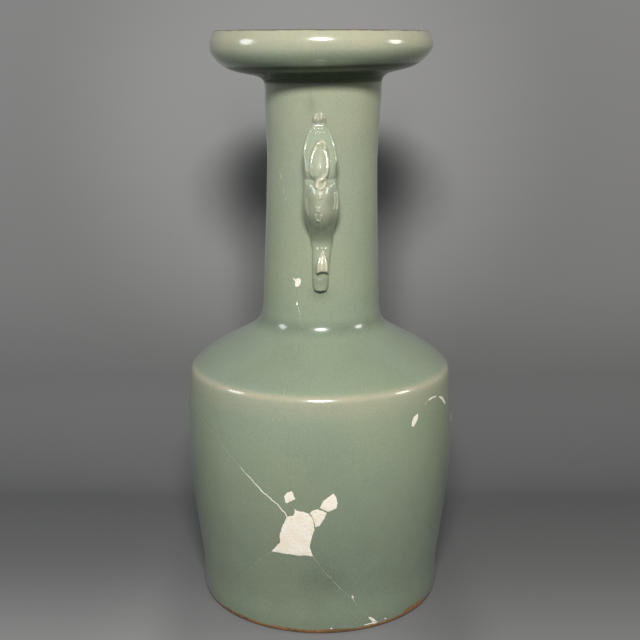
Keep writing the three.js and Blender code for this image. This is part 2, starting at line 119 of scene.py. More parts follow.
# Breaks and hairlines: round, height, half width, and how pale the line is, from 0 dark to 1 white filler
LEFT_BREAK = [
    (-15.0, 60.0, 0.24, 1.0), (-16.3, 64.0, 0.26, 0.9), (-20.3, 68.4, 0.22, 1.0), (-23.8, 71.0, 0.25, 1.0),
    (-27.6, 73.7, 0.26, 1.0), (-32.8, 78.4, 0.20, 0.95), (-38.3, 82.6, 0.15, 0.7), (-42.0, 86.0, 0.12, 0.35),
    (-48.7, 90.6, 0.12, 0.42), (-53.6, 95.2, 0.12, 0.3), (-61.8, 98.6, 0.10, 0.2), (-77.5, 104.0, 0.08, 0.1),
    (-104.0, 113.0, 0.08, 0.1), (-114.0, 121.0, 0.08, 0.1),
]
UPPER_BREAK = [
    (-14.5, 62.0, 0.08, 0.1), (-13.9, 70.0, 0.08, 0.1), (-13.6, 76.0, 0.07, 0.1), (-15.6, 88.0, 0.07, 0.12),
    (-14.6, 101.0, 0.07, 0.12), (-16.6, 112.0, 0.08, 0.18), (-17.2, 116.5, 0.12, 0.4),
    (-17.3, 121.0, 0.11, 0.4),
]
RIGHT_BREAK = [
    (-6.5, 46.0, 0.12, 0.3), (-3.2, 42.0, 0.13, 0.35), (0.3, 36.9, 0.11, 0.25), (3.2, 32.6, 0.12, 0.3),
    (5.2, 30.8, 0.16, 0.5), (10.2, 24.7, 0.14, 0.42), (16.8, 18.4, 0.16, 0.5), (20.3, 13.8, 0.14, 0.4),
    (24.4, 9.0, 0.11, 0.25), (27.5, 5.8, 0.14, 0.4), (28.9, 4.2, 0.20, 0.9), (32.0, 0.0, 0.20, 0.9),
    (35.0, -4.0, 0.2, 0.9),
]
LOW_BREAK = [
    (-20.0, 45.5, 0.11, 0.2), (-24.0, 43.0, 0.11, 0.2), (-27.9, 40.6, 0.12, 0.3), (-32.2, 36.2, 0.15, 0.38),
    (-37.7, 31.4, 0.11, 0.22), (-47.3, 23.4, 0.09, 0.15), (-62.0, 10.8, 0.08, 0.1), (-78.0, -4.0, 0.08, 0.1),
]
SHOULDER_HAIRLINE = [
    (-17.0, 147.0, 0.09, 0.25), (-15.9, 143.6, 0.08, 0.15), (-14.5, 138.2, 0.10, 0.32),
    (-14.4, 136.4, 0.08, 0.25), (-13.7, 133.8, 0.08, 0.22), (-12.9, 130.0, 0.07, 0.15),
    (-12.8, 126.0, 0.10, 0.30), (-12.9, 122.6, 0.10, 0.28), (-12.6, 119.2, 0.12, 0.42),
    (-12.4, 116.0, 0.12, 0.42),
]
SHOULDER_BRANCH = [(-14.6, 138.0, 0.08, 0.25), (-15.1, 136.7, 0.11, 0.4), (-15.9, 135.1, 0.09, 0.3)]
NECK_HAIRLINE = [
    (-11.6, 163.0, 0.08, 0.1), (-12.4, 160.7, 0.07, 0.1), (-11.8, 157.0, 0.08, 0.15),
    (-11.5, 154.8, 0.09, 0.3), (-11.2, 152.6, 0.11, 0.6), (-10.5, 150.9, 0.12, 0.75),
    (-10.0, 148.6, 0.08, 0.4), (-9.9, 145.0, 0.09, 0.4),
]
NECK_SCRATCHES = [
    [(-24.0, 215.8, 0.06, 0.8), (-22.6, 212.6, 0.09, 0.8)],
    [(-21.4, 208.4, 0.07, 0.8), (-20.6, 206.3, 0.10, 0.8)],
    [(-19.6, 204.2, 0.07, 0.7), (-19.2, 202.7, 0.07, 0.7)],
    [(-19.6, 253.6, 0.07, 0.6), (-17.2, 254.6, 0.09, 0.6)],
    [(-15.8, 252.6, 0.06, 0.5), (-13.2, 254.0, 0.08, 0.5)],
]
BODY_MARKS = [
    [(17.0, 19.5, 0.42, 1.0), (17.4, 18.6, 0.42, 1.0)], [(24.3, 2.9, 0.24, 1.0), (31.8, 3.0, 0.30, 1.0)],
    [(5.7, 2.9, 0.45, 1.0), (6.3, 2.8, 0.45, 1.0)], [(36.6, 3.6, 0.3, 0.9), (37.4, 3.4, 0.3, 0.9)],
    [(-46.5, 85.1, 0.26, 0.5), (-46.2, 84.7, 0.26, 0.5)], [(56.8, 109.9, 0.2, 0.6), (58.1, 110.9, 0.25, 0.8)],
]
BREAK_GROOVE = 0.07  # depth of the groove along a mended break
GROOVE_SPREAD = 0.22  # how far out from the break the groove reaches
CHIP_FLOOR = 0.75  # depth of a shallow fill
CHIP_EDGE = 0.12  # depth of a shallow fill just inside its edge
CHIP_SLOPE = 1.4  # how much deeper it gets for each millimetre further in
CHIP_PROUD = 0.02  # how far a shallow fill stands above the glaze
CHIP_CRUST = 0.05  # unevenness of a shallow fill's face
LOSS_CRUST = 0.10  # unevenness of a through fill's face
NO_LINE = 9.0  # the line value of a place far from every break
# Deeper glaze colour, as a stain or as painted shade: round, height, its two spreads and how much deeper. On
# the neck the first is an olive stain left of the knob and the second a painted shadow under the handle's
# tail. On the body both are painted shade over the front.
NECK_STAIN_AND_PAINTED_SHADOW = [(-5.7, 247.0, 2.3, 4.2, 0.5), (-0.5, 160.2, 4.8, 4.0, 0.7)]
BODY_PAINTED_SHADE = [(0.0, 94.0, 17.0, 17.0, 0.16), (2.0, 30.0, 20.0, 17.0, 0.16)]

# The throw isn't quite true: height and shift to the viewer's right, and height and how far the dish's tip is
# felt there. The tip is a millimetre for every TIP_RUN to the right, less TIP_DROP
LEAN = [(118, 0), (150, 0.55), (205, 0.95), (240, 1.25), (254, 1.55), (262, 1.2), (270, 0.6), (280, 0.5)]
TIP = [(254, 0), (260, 1), (267, 1), (277, 0)]
TIP_RUN = 40.0
TIP_DROP = 0.45

# Steps between the points on a wall's plan: on its border, far from a line, near one, and in a fill
BORDER_STEP = 1.5
WIDE_STEP = 2.6
NEAR_STEP = 1.3
FILL_STEP = 0.7
# How far those points keep from a line. Near points within CUT_REACH of one are cut into nine fine ones
WIDE_CLEARANCE = 0.8 * WIDE_STEP
NEAR_CLEARANCE = 1.5
NEAR_REACH = 0.9 * WIDE_STEP
CUT_REACH = 2.4
FINE_CLEARANCE = 0.22
FINE_REACH = 1.35
FILL_CLEARANCE = 0.4 * FILL_STEP
# How far near points keep from the border, and fine points from its sides and its ends
NEAR_MARGIN = 1.0
SIDE_MARGIN = 0.5
END_MARGIN = 0.3

rng = np.random.default_rng(11)


def smooth(points, per_span=24):
    """A centripetal curve through the points: between two of them it is the cubic whose end slopes come
    from both neighbours, weighed by the square roots of the distances."""
    p = np.asarray(points, float)
    p = np.vstack([2 * p[0] - p[1], p, 2 * p[-1] - p[-2]])
    d = np.sqrt(np.linalg.norm(np.diff(p, axis=0), axis=1))[:, None]
    x0, x1, x2, x3 = p[:-3], p[1:-2], p[2:-1], p[3:]
    d0, d1, d2 = d[:-2], d[1:-1], d[2:]
    m1 = ((x1 - x0) / d0 - (x2 - x0) / (d0 + d1) + (x2 - x1) / d1) * d1
    m2 = ((x2 - x1) / d1 - (x3 - x1) / (d1 + d2) + (x3 - x2) / d2) * d1
    s = np.linspace(0, 1, per_span, endpoint=False)[:, None, None]
    curve = (2 * s**3 - 3 * s**2 + 1) * x1 + (s**3 - 2 * s**2 + s) * m1
    curve += (3 * s**2 - 2 * s**3) * x2 + (s**3 - s**2) * m2
    return np.vstack([curve.transpose(1, 0, 2).reshape(-1, p.shape[1]), p[-2]])


def rise(value, low, high):
    """0 below low, 1 above high, and an S-shaped rise between them."""
    t = np.clip((value - low) / (high - low), 0, 1)
    return t * t * (3 - 2 * t)


def hump(value, middle, half_width):
    """A round hump: 1 at the middle, 0 past the half width, a cosine between them."""
    t = np.clip(np.abs(value - middle) / half_width, 0, 1)
    return 0.5 + 0.5 * np.cos(np.pi * t)


def bell(x, z, middle, spreads):
    """A bell curve: e to minus the squares of both distances from its middle over its two spreads."""
    return np.exp(-(((x - middle[0]) / spreads[0]) ** 2) - ((z - middle[1]) / spreads[1]) ** 2)


def read_off(place, steps):
    """The value at a place on a list of places and values, along straight lines between them."""
    return np.interp(place, *zip(*steps))


def lean(points):
    """The throw's faults: the neck leans a millimetre or so to the viewer's right and the dish comes most of
    the way back. Its underside is tipped, lower on the left. Both shifts are read off the height."""
    p = points.copy()
    z = points[:, 2]
    p[:, 0] += read_off(z, LEAN)
    p[:, 2] += read_off(z, TIP) * (points[:, 0] / TIP_RUN - TIP_DROP)
    return p


def even_rows(curve, step=3.0, turn=4.0):
    """Points along a dense curve, no further apart than a step or a turn of so many degrees."""
    along = np.diff(curve, axis=0)
    length = np.linalg.norm(along, axis=1)
    angle = np.unwrap(np.arctan2(along[:, 1], along[:, 0]))
    bend = np.abs(np.gradient(np.degrees(angle)))
    effort = np.r_[0, np.cumsum(np.maximum(length / step, bend / turn))]
    share = np.linspace(0, effort[-1], int(np.ceil(effort[-1])) + 1)
    return np.column_stack([np.interp(share, effort, column) for column in curve.T])


class Wall:
    """A turned stretch of wall between two heights. A place on its plan is (round, up): millimetres round
    from the front at the reference radius, and millimetres up along the outer outline."""

    def __init__(self, low, high, inside, reference):
        whole = smooth(OUTSIDE, 40)
        kept = whole[(whole[:, 1] > low + 1e-3) & (whole[:, 1] < high - 1e-3)]
        ends = [(np.interp(level, whole[:, 1], whole[:, 0]), level) for level in (low, high)]
        self.outline = np.vstack([ends[0], kept, ends[1]])
        self.run = np.r_[0, np.cumsum(np.linalg.norm(np.diff(self.outline, axis=0), axis=1))]
        inner = smooth(inside, 24)
        inner_run = np.r_[0, np.cumsum(np.linalg.norm(np.diff(inner, axis=0), axis=1))]
        share = self.run / self.run[-1] * inner_run[-1]
        self.inner = np.column_stack([np.interp(share, inner_run, column) for column in inner.T])
        self.reference = reference
        self.top = self.run[-1]

    def up(self, height):
        """The place up the plan of a height. Past the wall's ends it goes on at the same rate."""
        z = self.outline[:, 1]
        beyond = np.minimum(np.asarray(height) - z[0], 0) + np.maximum(np.asarray(height) - z[-1], 0)
        return np.interp(height, z, self.run) + beyond

    def height(self, up):
        """The height of a place up the plan."""
        return np.interp(up, self.run, self.outline[:, 1])

    def flat(self, points):
        """Points given by round and height, with any further columns kept, as places on the plan."""
        p = np.array(points, float)
        p[:, 1] = self.up(p[:, 1])
        return p

    def normal(self, plan, curve):
        """Square to one of the wall's faces: the outline's slope turned by a right angle, out along the
        place's own direction from the axis."""
        slope = np.gradient(curve, self.run, axis=0)
        slope /= np.linalg.norm(slope, axis=1)[:, None]
        across = np.interp(plan[:, 1], self.run, slope[:, 1])
        fall = -np.interp(plan[:, 1], self.run, slope[:, 0])
        turn = plan[:, 0] / self.reference
        normal = np.column_stack([across * np.sin(turn), -across * np.cos(turn), fall])
        return normal / np.linalg.norm(normal, axis=1)[:, None]

    def place(self, plan, curve, depth=0.0):
        """Plan points rolled up: the radius and height are the outline's, and the distance round over the
        reference radius is the angle. Depth is measured in from that face, square to it."""
        turn = plan[:, 0] / self.reference
        r = np.interp(plan[:, 1], self.run, curve[:, 0])
        z = np.interp(plan[:, 1], self.run, curve[:, 1])
        points = np.column_stack([r * np.sin(turn), -r * np.cos(turn), z])
        return points - self.normal(plan, curve) * np.reshape(depth, (-1, 1))


def nearest(points, samples):
    """Distance from each point to the nearest sample, and which sample that is, a block at a time."""
    gap = np.empty(len(points))
    which = np.empty(len(points), int)
    for start in range(0, len(points), 2000):
        block = points[start:start + 2000]
        square = ((block[:, None, :] - samples[None, :, :]) ** 2).sum(2)
        which[start:start + 2000] = square.argmin(1)
        gap[start:start + 2000] = np.sqrt(square.min(1))
    return gap, which


def broken(points, step=0.35, waver=0.1, closed=False):
    """A line as clay breaks: the points joined at an even step, then pushed sideways by three sines of
    falling length and height. A closed line's sines fit its length a whole number of times."""
    p = np.asarray(points, float)
    if closed:
        p = np.vstack([p, p[:1]])
    run = np.r_[0, np.cumsum(np.linalg.norm(np.diff(p[:, :2], axis=0), axis=1))]
    t = np.linspace(0, run[-1], max(4, int(run[-1] / step)) + 1)
    q = np.column_stack([np.interp(t, run, column) for column in p.T])
    along = np.gradient(q[:, :2], axis=0)
    along /= np.linalg.norm(along, axis=1)[:, None]
    push = np.zeros(len(t))
    for share, length in ((1.0, 6.0), (0.7, 2.3), (0.5, 1.1)):
        turns = max(1, round(run[-1] / length))
        push += waver * share * np.sin(2 * np.pi * turns * t / run[-1] + rng.uniform(0, 2 * np.pi))
    if not closed:
        push *= np.minimum(1, np.minimum(t, run[-1] - t) / 2.0)
    q[:, 0] -= along[:, 1] * push
    q[:, 1] += along[:, 0] * push
    return q[:-1] if closed else q


def inside(points, loop):
    """Whether each point is inside a closed loop: a ray to the right crosses it an odd number of times."""
    x, y = points[:, :1], points[:, 1:2]
    ax, ay = loop[:, 0], loop[:, 1]
    bx, by = np.roll(ax, -1), np.roll(ay, -1)
    spans = (ay > y) != (by > y)
    with np.errstate(divide="ignore", invalid="ignore"):
        cross = ax + (y - ay) * (bx - ax) / (by - ay)
    return (spans & (x < cross)).sum(1) % 2 == 1


def grid_of(columns, rows):
    """Every pairing of a column with a row, as points, row by row."""
    return np.stack(np.meshgrid(columns, rows), -1).reshape(-1, 2)


def mosaic(wall, lines, loops):
    """Triangles of a whole wall laid flat. Its border, the lines and the loops are kept as edges. Points
    lie closest beside the lines and inside the loops. The left and right borders are then made one."""
    half = math.pi * wall.reference
    rows = even_rows(np.column_stack([wall.outline, wall.run]), step=WIDE_STEP)[:, 2]
    across = np.linspace(-half, half, 2 * int(half / BORDER_STEP) + 1)
    border = np.vstack([
        np.column_stack([across[:-1], np.zeros(len(across) - 1)]),
        np.column_stack([np.full(len(rows) - 1, half), rows[:-1]]),
        np.column_stack([across[::-1][:-1], np.full(len(across) - 1, wall.top)]),
        np.column_stack([np.full(len(rows) - 1, -half), rows[::-1][:-1]]),
    ])
    drawn = np.vstack([chain[:, :2] for chain in lines + loops])
    wide = grid_of(np.linspace(-half, half, 2 * int(half / WIDE_STEP) + 1)[1:-1], rows[1:-1])
    gap, _ = nearest(wide, drawn)
    wide = wide[gap > WIDE_CLEARANCE]
    near = grid_of(
        np.arange(-half + NEAR_STEP, half - NEAR_MARGIN, NEAR_STEP),
        np.arange(NEAR_STEP, wall.top - NEAR_MARGIN, NEAR_STEP),
    )
    gap, _ = nearest(near, drawn)
    ninths = (grid_of(np.arange(3), np.arange(3)) - 1) * NEAR_STEP / 3
    fine = (near[gap < CUT_REACH][:, None, :] + ninths[None, :, :]).reshape(-1, 2)
    near = near[(gap > NEAR_CLEARANCE) & (gap < NEAR_REACH)]
    fine = fine[np.abs(fine[:, 0]) < half - SIDE_MARGIN]
    fine = fine[(fine[:, 1] > END_MARGIN) & (fine[:, 1] < wall.top - END_MARGIN)]
    gap, _ = nearest(fine, drawn)
    fine = fine[(gap > FINE_CLEARANCE) & (gap < FINE_REACH)]
    loose = [wide, near, fine]
    for loop in loops:
        grid = grid_of(*[np.arange(low, high, FILL_STEP) for low, high in zip(loop.min(0), loop.max(0))])
        grid = grid[inside(grid, loop)]
        if len(grid):
            loose = [p[~inside(p, loop)] for p in loose]
            gap, _ = nearest(grid, drawn)
            loose.append(grid[gap > FILL_CLEARANCE])
    edges = []
    start = 0
    chains = [border] + loops + [line[:, :2] for line in lines]
    for number, chain in enumerate(chains):
        closed = number <= len(loops)
        index = np.arange(start, start + len(chain))
        pairs = np.column_stack([index, np.roll(index, -1)])
        edges += pairs[: len(chain) if closed else -1].tolist()
        start += len(chain)
    cloud = np.vstack(chains + loose)
    # The triangulation takes lists and gives lists
    made = delaunay_2d_cdt([Vector(p) for p in cloud.tolist()], edges, [], 0, 1e-5, False)
    plan = np.array([v[:] for v in made[0]])
    faces = np.array([list(face) for face in made[2]])
    a, b, c = plan[faces[:, 0]], plan[faces[:, 1]], plan[faces[:, 2]]
    turn = (b[:, 0] - a[:, 0]) * (c[:, 1] - a[:, 1]) - (b[:, 1] - a[:, 1]) * (c[:, 0] - a[:, 0])
    faces[turn < 0] = faces[turn < 0][:, ::-1]
    centres = plan[faces].mean(1)
    kept = (np.abs(turn) > 1e-9) & (centres[:, 1] > 0) & (centres[:, 1] < wall.top)
    right = np.flatnonzero(np.abs(plan[:, 0] - half) < 1e-4)
    left = np.flatnonzero(np.abs(plan[:, 0] + half) < 1e-4)
    join = np.arange(len(plan))
    join[right[np.argsort(plan[right, 1])]] = left[np.argsort(plan[left, 1])]
    return plan, join[faces[kept]], centres[kept]


def face_normals(points, faces):
    """Each vertex's normal: the sum of the cross products of the triangles round it, made one long."""
    a, b, c = points[faces[:, 0]], points[faces[:, 1]], points[faces[:, 2]]
    cross = np.cross(b - a, c - a)
    total = np.zeros_like(points)
    for corner in range(3):
        np.add.at(total, faces[:, corner], cross)
    return total / np.maximum(np.linalg.norm(total, axis=1), 1e-12)[:, None]


def mesh_piece(name, points, faces, material, corners=None, fields=None):
    """Puts points in millimetres and their faces into a mesh that stands for the frame's node of that name.
    Corners are the normals at the faces' corners, where they are given. Fields are values on the points."""
    mesh = bpy.data.meshes.new(name)
    mesh.from_pydata((points * MM).tolist(), [], np.asarray(faces, object).tolist(), shade_flat=False)
    for field, values in (fields or {}).items():
        layer = mesh.attributes.new(field, "FLOAT", "POINT")
        layer.data.foreach_set("value", np.asarray(values, np.float32))
    mesh.materials.append(material)
    mesh.update()
    if corners is not None:
        mesh.normals_split_custom_set(corners.tolist())
    piece = bpy.data.objects.new(name, mesh)
    bpy.context.scene.collection.objects.link(piece)
    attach(piece, "root")
    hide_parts(name)
    return piece


def wall_piece(name, wall, plan, faces, material, sink, floor=None, fields=None):
    """A closed piece of wall: the plan's faces on the outer outline, the same faces turned over on the inner
    one, and a strip across each free edge. Sink lowers the outer face. Floor, if given, is how deep the
    piece goes below the outer outline instead of reaching the inner one. The outer face is shaded by the
    outline's own normal, bent by as much as the sinking bends the faces."""
    used, index = np.unique(faces, return_inverse=True)
    triangles = index.reshape(-1, 3)
    flat = plan[used]
    count = len(used)
    top = wall.place(flat, wall.outline, sink[used])
    bottom = wall.place(flat, wall.inner) if floor is None else wall.place(flat, wall.outline, floor[used])
    points = lean(np.vstack([top, bottom]))
    edges = np.vstack([triangles[:, [0, 1]], triangles[:, [1, 2]], triangles[:, [2, 0]]])
    _, first, times = np.unique(np.sort(edges, axis=1), axis=0, return_index=True, return_counts=True)
    free = edges[first[times == 1]]
    strip = np.vstack([
        np.column_stack([free[:, 1], free[:, 0], free[:, 0] + count]),
        np.column_stack([free[:, 1], free[:, 0] + count, free[:, 1] + count]),
    ])
    even = face_normals(wall.place(flat, wall.outline), triangles)
    outward = wall.normal(flat, wall.outline) + face_normals(top, triangles) - even
    outward /= np.linalg.norm(outward, axis=1)[:, None]
    inward = -wall.normal(flat, wall.inner if floor is None else wall.outline)
    side = np.cross(points[strip[:, 1]] - points[strip[:, 0]], points[strip[:, 2]] - points[strip[:, 0]])
    side /= np.maximum(np.linalg.norm(side, axis=1), 1e-12)[:, None]
    corners = np.vstack([
        outward[triangles].reshape(-1, 3),
        inward[triangles[:, ::-1]].reshape(-1, 3),
        np.repeat(side, 3, axis=0),
    ])
    solid = np.vstack([triangles, triangles[:, ::-1] + count, strip])
    values = {
        field: np.r_[value[used], np.full(count, NO_LINE if field == "line" else 0.0)]
        for field, value in (fields or {}).items()
    }
    return mesh_piece(name, points, solid, material, corners, values)


def ring_piece(name, outline, columns, material, fields, crease=30.0):
    """A closed outline of radius r and height z, turned about the axis: a turn puts it at (r sin, -r cos, z).
    It goes round with the wall on its left. One that starts and ends on the axis closes there in two poles.
    Fields give a value for each place on the outline. Edges that bend by more than the crease stay sharp."""
    turn = np.linspace(0, 2 * np.pi, columns, endpoint=False)
    poles = outline[0, 0] == 0
    rows = outline[1:-1] if poles else outline
    r, z = rows[:, :1], rows[:, 1:2]
    points = np.stack([r * np.sin(turn), -r * np.cos(turn), z + 0 * turn], -1).reshape(-1, 3)
    number = np.arange(len(points)).reshape(len(rows), columns)
    right = np.roll(number, -1, 1)
    quads = np.stack([number, right, np.roll(right, -1, 0), np.roll(number, -1, 0)], -1)
    faces = (quads[:-1] if poles else quads).reshape(-1, 4).tolist()
    values = {}
    for field, value in fields.items():
        values[field] = np.repeat(value[1:-1] if poles else value, columns)
        if poles:
            values[field] = np.r_[values[field], value[0], value[-1]]
    if poles:
        first = np.full(columns, len(points))
        faces += np.column_stack([first, right[0], number[0]]).tolist()
        faces += np.column_stack([first + 1, number[-1], right[-1]]).tolist()
        points = np.vstack([points, [(0, 0, outline[0, 1]), (0, 0, outline[-1, 1])]])
    piece = mesh_piece(name, lean(points), faces, material, None, values)
    piece.data.set_sharp_from_angle(angle=math.radians(crease))
    return piece


def thinness(z):
    """How thin the glaze lies at a height: thinnest on the ridge and up the dish's side, thin in a wide band
    under the ridge, where it ran down before it set, and thinner and thinner up the neck."""
    ridge = 0.60 * hump(z, RIDGE + 1.5, 2.2)
    band = 0.50 * rise(z, 105.0, 115.5) * (1 - rise(z, RIDGE + 1.0, RIDGE + 4.0))
    dish = 0.85 * rise(z, 267.5, 276.5)
    neck = (0.16 + 0.24 * rise(z, 185.0, 245.0)) * rise(z, 150.0, 166.0) * (1 - rise(z, 254.0, 259.0))
    return np.clip(ridge + band + dish + neck, 0, 1)


def pooling_and_painted_shade(z):
    """How thick the glaze lies at a height: in the fold at the neck's root, a little on the shoulder, and
    more and more down the body. Under the dish and on the neck just below it the value stands for painted
    shade, high enough to reach the darkest colour."""
    root = 0.7 * hump(z, NECK_ROOT - 3.2, 5.5)
    # Painted shade under the dish and on the top of the neck below it
    under = 1.1 * rise(z, 251.5, 259.0) * (1 - rise(z, 262.5, 271.5))
    body = 0.66 * (1 - rise(z, 40.0, 122.0))
    shoulder = 0.24 * rise(z, 118.5, 123.0) * (1 - rise(z, 138.0, 146.0))
    return np.clip(root + under + body + shoulder, 0, 1)


def line_fields(plan, lines):
    """Two values for each place on a plan: the distance to the nearest line over that line's half width, no
    more than NO_LINE, and how pale that line is there."""
    samples = np.vstack(lines)
    gap, which = nearest(plan, samples[:, :2])
    return np.minimum(gap / samples[which, 2], NO_LINE), samples[which, 3]


def sunk(plan, loop, depth):
    """A pocket inside a loop: its depth grows with the distance from the edge, up to the given depth."""
    gap, _ = nearest(plan, loop)
    within = inside(plan, loop) & (gap > 1e-3)
    return np.where(within, np.minimum(depth, CHIP_EDGE + CHIP_SLOPE * gap), 0.0)


def crusted(plan, loop, height):
    """How far a fill's face stands below the wall's: about a third of the given height, with three crossed
    waves on it, and a tenth of a millimetre more at the edge, where it falls away."""
    x, y = plan[:, 0], plan[:, 1]
    waves = np.sin(2.1 * x + 1.3 * y) + np.sin(3.7 * y - 1.9 * x + 1.0) + np.sin(5.3 * x + 4.1 * y + 2.0)
    gap, _ = nearest(plan, loop)
    return height * (0.35 + 0.22 * waves) + 0.10 * np.exp(-gap / 0.35) - 0.02


def dressed_wall(wall, names, breaks, marks, through, chips, regions, glaze, filler, stains_and_shade=()):
    """Lays out a whole wall and cuts it into its pieces. Breaks and through losses divide it. Chips only sink
    into it. The first name is the wall's own and the others are its sherds', in the order of the regions,
    each of which is the loop between two breaks. A stain or a painted shade is a bell curve that deepens the
    glaze's colour."""
    fills = {
        name: broken(wall.flat(loop), step=0.35, waver=0.07, closed=True)
        for name, loop in through.items()
    }
    pits = {
        name: [broken(wall.flat(loop), step=0.3, waver=0.04, closed=True) for loop in loops]
        for name, loops in chips.items()
    }
    loops = list(fills.values()) + [loop for group in pits.values() for loop in group]
    plan, faces, centres = mosaic(wall, breaks + marks, loops)
    line, pale = line_fields(plan, breaks + marks)
    gap, _ = nearest(plan, np.vstack(breaks)[:, :2])
    sink = BREAK_GROOVE * np.exp(-((gap / GROOVE_SPREAD) ** 2))
    z = wall.height(plan[:, 1])
    # Stains and painted shade deepen the glaze colour by bell curves
    stain_and_shade = np.zeros(len(plan))
    for across, height, wide, tall, amount in stains_and_shade:
        stain_and_shade += amount * bell(plan[:, 0], z, (across, height), (wide, tall))
    stain_and_shade = np.minimum(stain_and_shade, 1)
    pool_and_shade = np.minimum(pooling_and_painted_shade(z) + stain_and_shade, 1)
    fields = {"line": line, "pale": pale, "thin": thinness(z) * (1 - stain_and_shade), "pool_and_shade": pool_and_shade}
    owner = np.zeros(len(faces), int)
    for number, loop in enumerate(regions, 1):
        owner[inside(centres, loop)] = number
    in_fill = np.zeros(len(faces), bool)
    for name, loop in fills.items():
        chosen = inside(centres, loop)
        in_fill |= chosen
        wall_piece(name, wall, plan, faces[chosen], filler, crusted(plan, loop, LOSS_CRUST))
    for name, group in pits.items():
        chosen = np.zeros(len(faces), bool)
        floor = np.full(len(plan), CHIP_EDGE)
        crust = np.zeros(len(plan))
        for loop in group:
            chosen |= inside(centres, loop)
            pocket = sunk(plan, loop, CHIP_FLOOR)
            sink = np.maximum(sink, pocket)
            floor = np.maximum(floor, pocket)
            crust += np.where(pocket > 0, crusted(plan, loop, CHIP_CRUST), 0)
        face = np.minimum(crust, CHIP_CRUST) - CHIP_PROUD
        wall_piece(name, wall, plan, faces[chosen], filler, face, floor)
    for number, name in enumerate(names):
        wall_piece(name, wall, plan, faces[(owner == number) & ~in_fill], glaze, sink, None, fields)


# The handle's centre line from the top down: out from the neck's waist, height, half width, half depth,
# how far the middle stands to the viewer's right, and how square the section is (2 is an ellipse)
HANDLE = [
    (0.4, 242.4, 2.3, 1.4, -1.5, 2.8), (1.4, 241.6, 3.0, 2.3, -1.6, 3.0), (2.0, 240.2, 3.1, 2.7, -1.7, 3.0),
    (2.3, 238.3, 3.3, 2.5, -1.8, 3.0), (3.5, 236.0, 4.6, 2.5, -1.7, 3.4),
    (4.9, 233.2, 6.0, 2.9, -1.55, 3.6), (5.95, 230.4, 7.0, 3.3, -1.45, 3.7),
    (6.9, 227.7, 7.45, 3.7, -1.4, 3.8), (7.8, 225.0, 7.8, 4.1, -1.15, 3.8),
    (8.75, 222.2, 7.8, 4.4, -0.9, 3.6), (9.85, 218.7, 7.3, 4.7, -1.0, 3.2),
    (10.5, 215.3, 7.15, 4.6, -0.95, 2.8), (10.8, 211.7, 7.6, 4.5, -0.8, 2.4),
    (10.8, 208.2, 8.1, 4.3, -0.55, 2.2), (10.5, 204.4, 8.3, 4.2, -0.45, 2.1),
    (9.9, 201.2, 8.2, 4.3, -0.3, 2.1), (8.6, 197.7, 7.5, 4.2, -0.3, 2.1),
    (5.9, 193.6, 6.5, 3.9, -0.35, 2.1), (3.3, 189.6, 5.7, 3.2, -0.2, 2.2),
    (1.6, 185.4, 5.25, 2.5, 0.0, 2.2), (1.3, 182.6, 4.65, 2.3, 0.0, 2.2), (1.5, 180.0, 4.3, 2.4, 0.0, 2.2),
    (1.9, 177.1, 4.2, 2.6, -0.15, 2.3), (2.35, 173.6, 4.05, 2.8, -0.3, 2.4),
    (2.1, 171.0, 3.95, 2.6, -0.4, 2.3), (2.0, 169.0, 3.85, 2.5, -0.45, 2.3),
    (2.2, 166.0, 3.8, 2.5, -0.45, 2.2), (2.3, 163.6, 3.55, 2.5, -0.4, 2.2),
    (2.2, 161.2, 2.7, 2.4, -0.4, 2.0),
]
NECK_WAIST = 26.65
HANDLE_AROUND = 128  # points round the handle
HANDLE_CROWDING = 0.45  # how much closer they lie on its face
HANDLE_SEAT = 0.45  # how deep it is laid into the neck
HANDLE_TOP_ROUND = 1.2  # the length over which its top closes
HANDLE_TAIL_ROUND = 1.0  # the length over which its tail's end closes

# What stands out on the handle's face, by right and height. The almond's and the plume's half widths are
# given by height. The belly's half width grows by BELLY_SAG downwards, and it is longer downwards
ALMOND_MIDDLE = -1.2
ALMOND_HALF = [
    (212.6, 0.4), (214.6, 2.9), (217.0, 4.2), (220.0, 4.6), (224.0, 4.5), (228.0, 3.7), (230.2, 2.4),
    (231.8, 0.4),
]
ALMOND_UP = 2.3
BELLY_MIDDLE = (-0.7, 206.0)
BELLY_HALF = 6.8
BELLY_SAG = 1.2
BELLY_ABOVE = 10.0
BELLY_BELOW = 16.0
BELLY_UP = 4.6
BOX_MIDDLE = (-1.9, 202.6)
BOX_HALF = 1.5
KNOB_LOBES = [(-3.5, 241.1, 1.05, 1.5), (-0.7, 241.3, 1.05, 1.4)]
LOBE_UP = 2.3
FOLD_HEIGHT = 214.8
PLUME_MIDDLE = 0.45
PLUME_HALF = [(171.0, 3.1), (174.0, 2.9), (177.5, 2.0), (180.4, 0.5)]
PLUME_TOP = 180.2
PLUME_SLOPE = 0.22
TAIL_PIT = (-0.7, 168.2)
# Middle of the painted shade on the tail's pad, under the plume
TAIL_POOL_AND_SHADE = (-0.7, 167.0)
DOTS = [(-3.9, 237.5), (-1.8, 237.5), (-0.2, 237.5), (-2.1, 181.6), (0.0, 181.6), (2.0, 181.6)]
DOT_SPREAD = 0.45
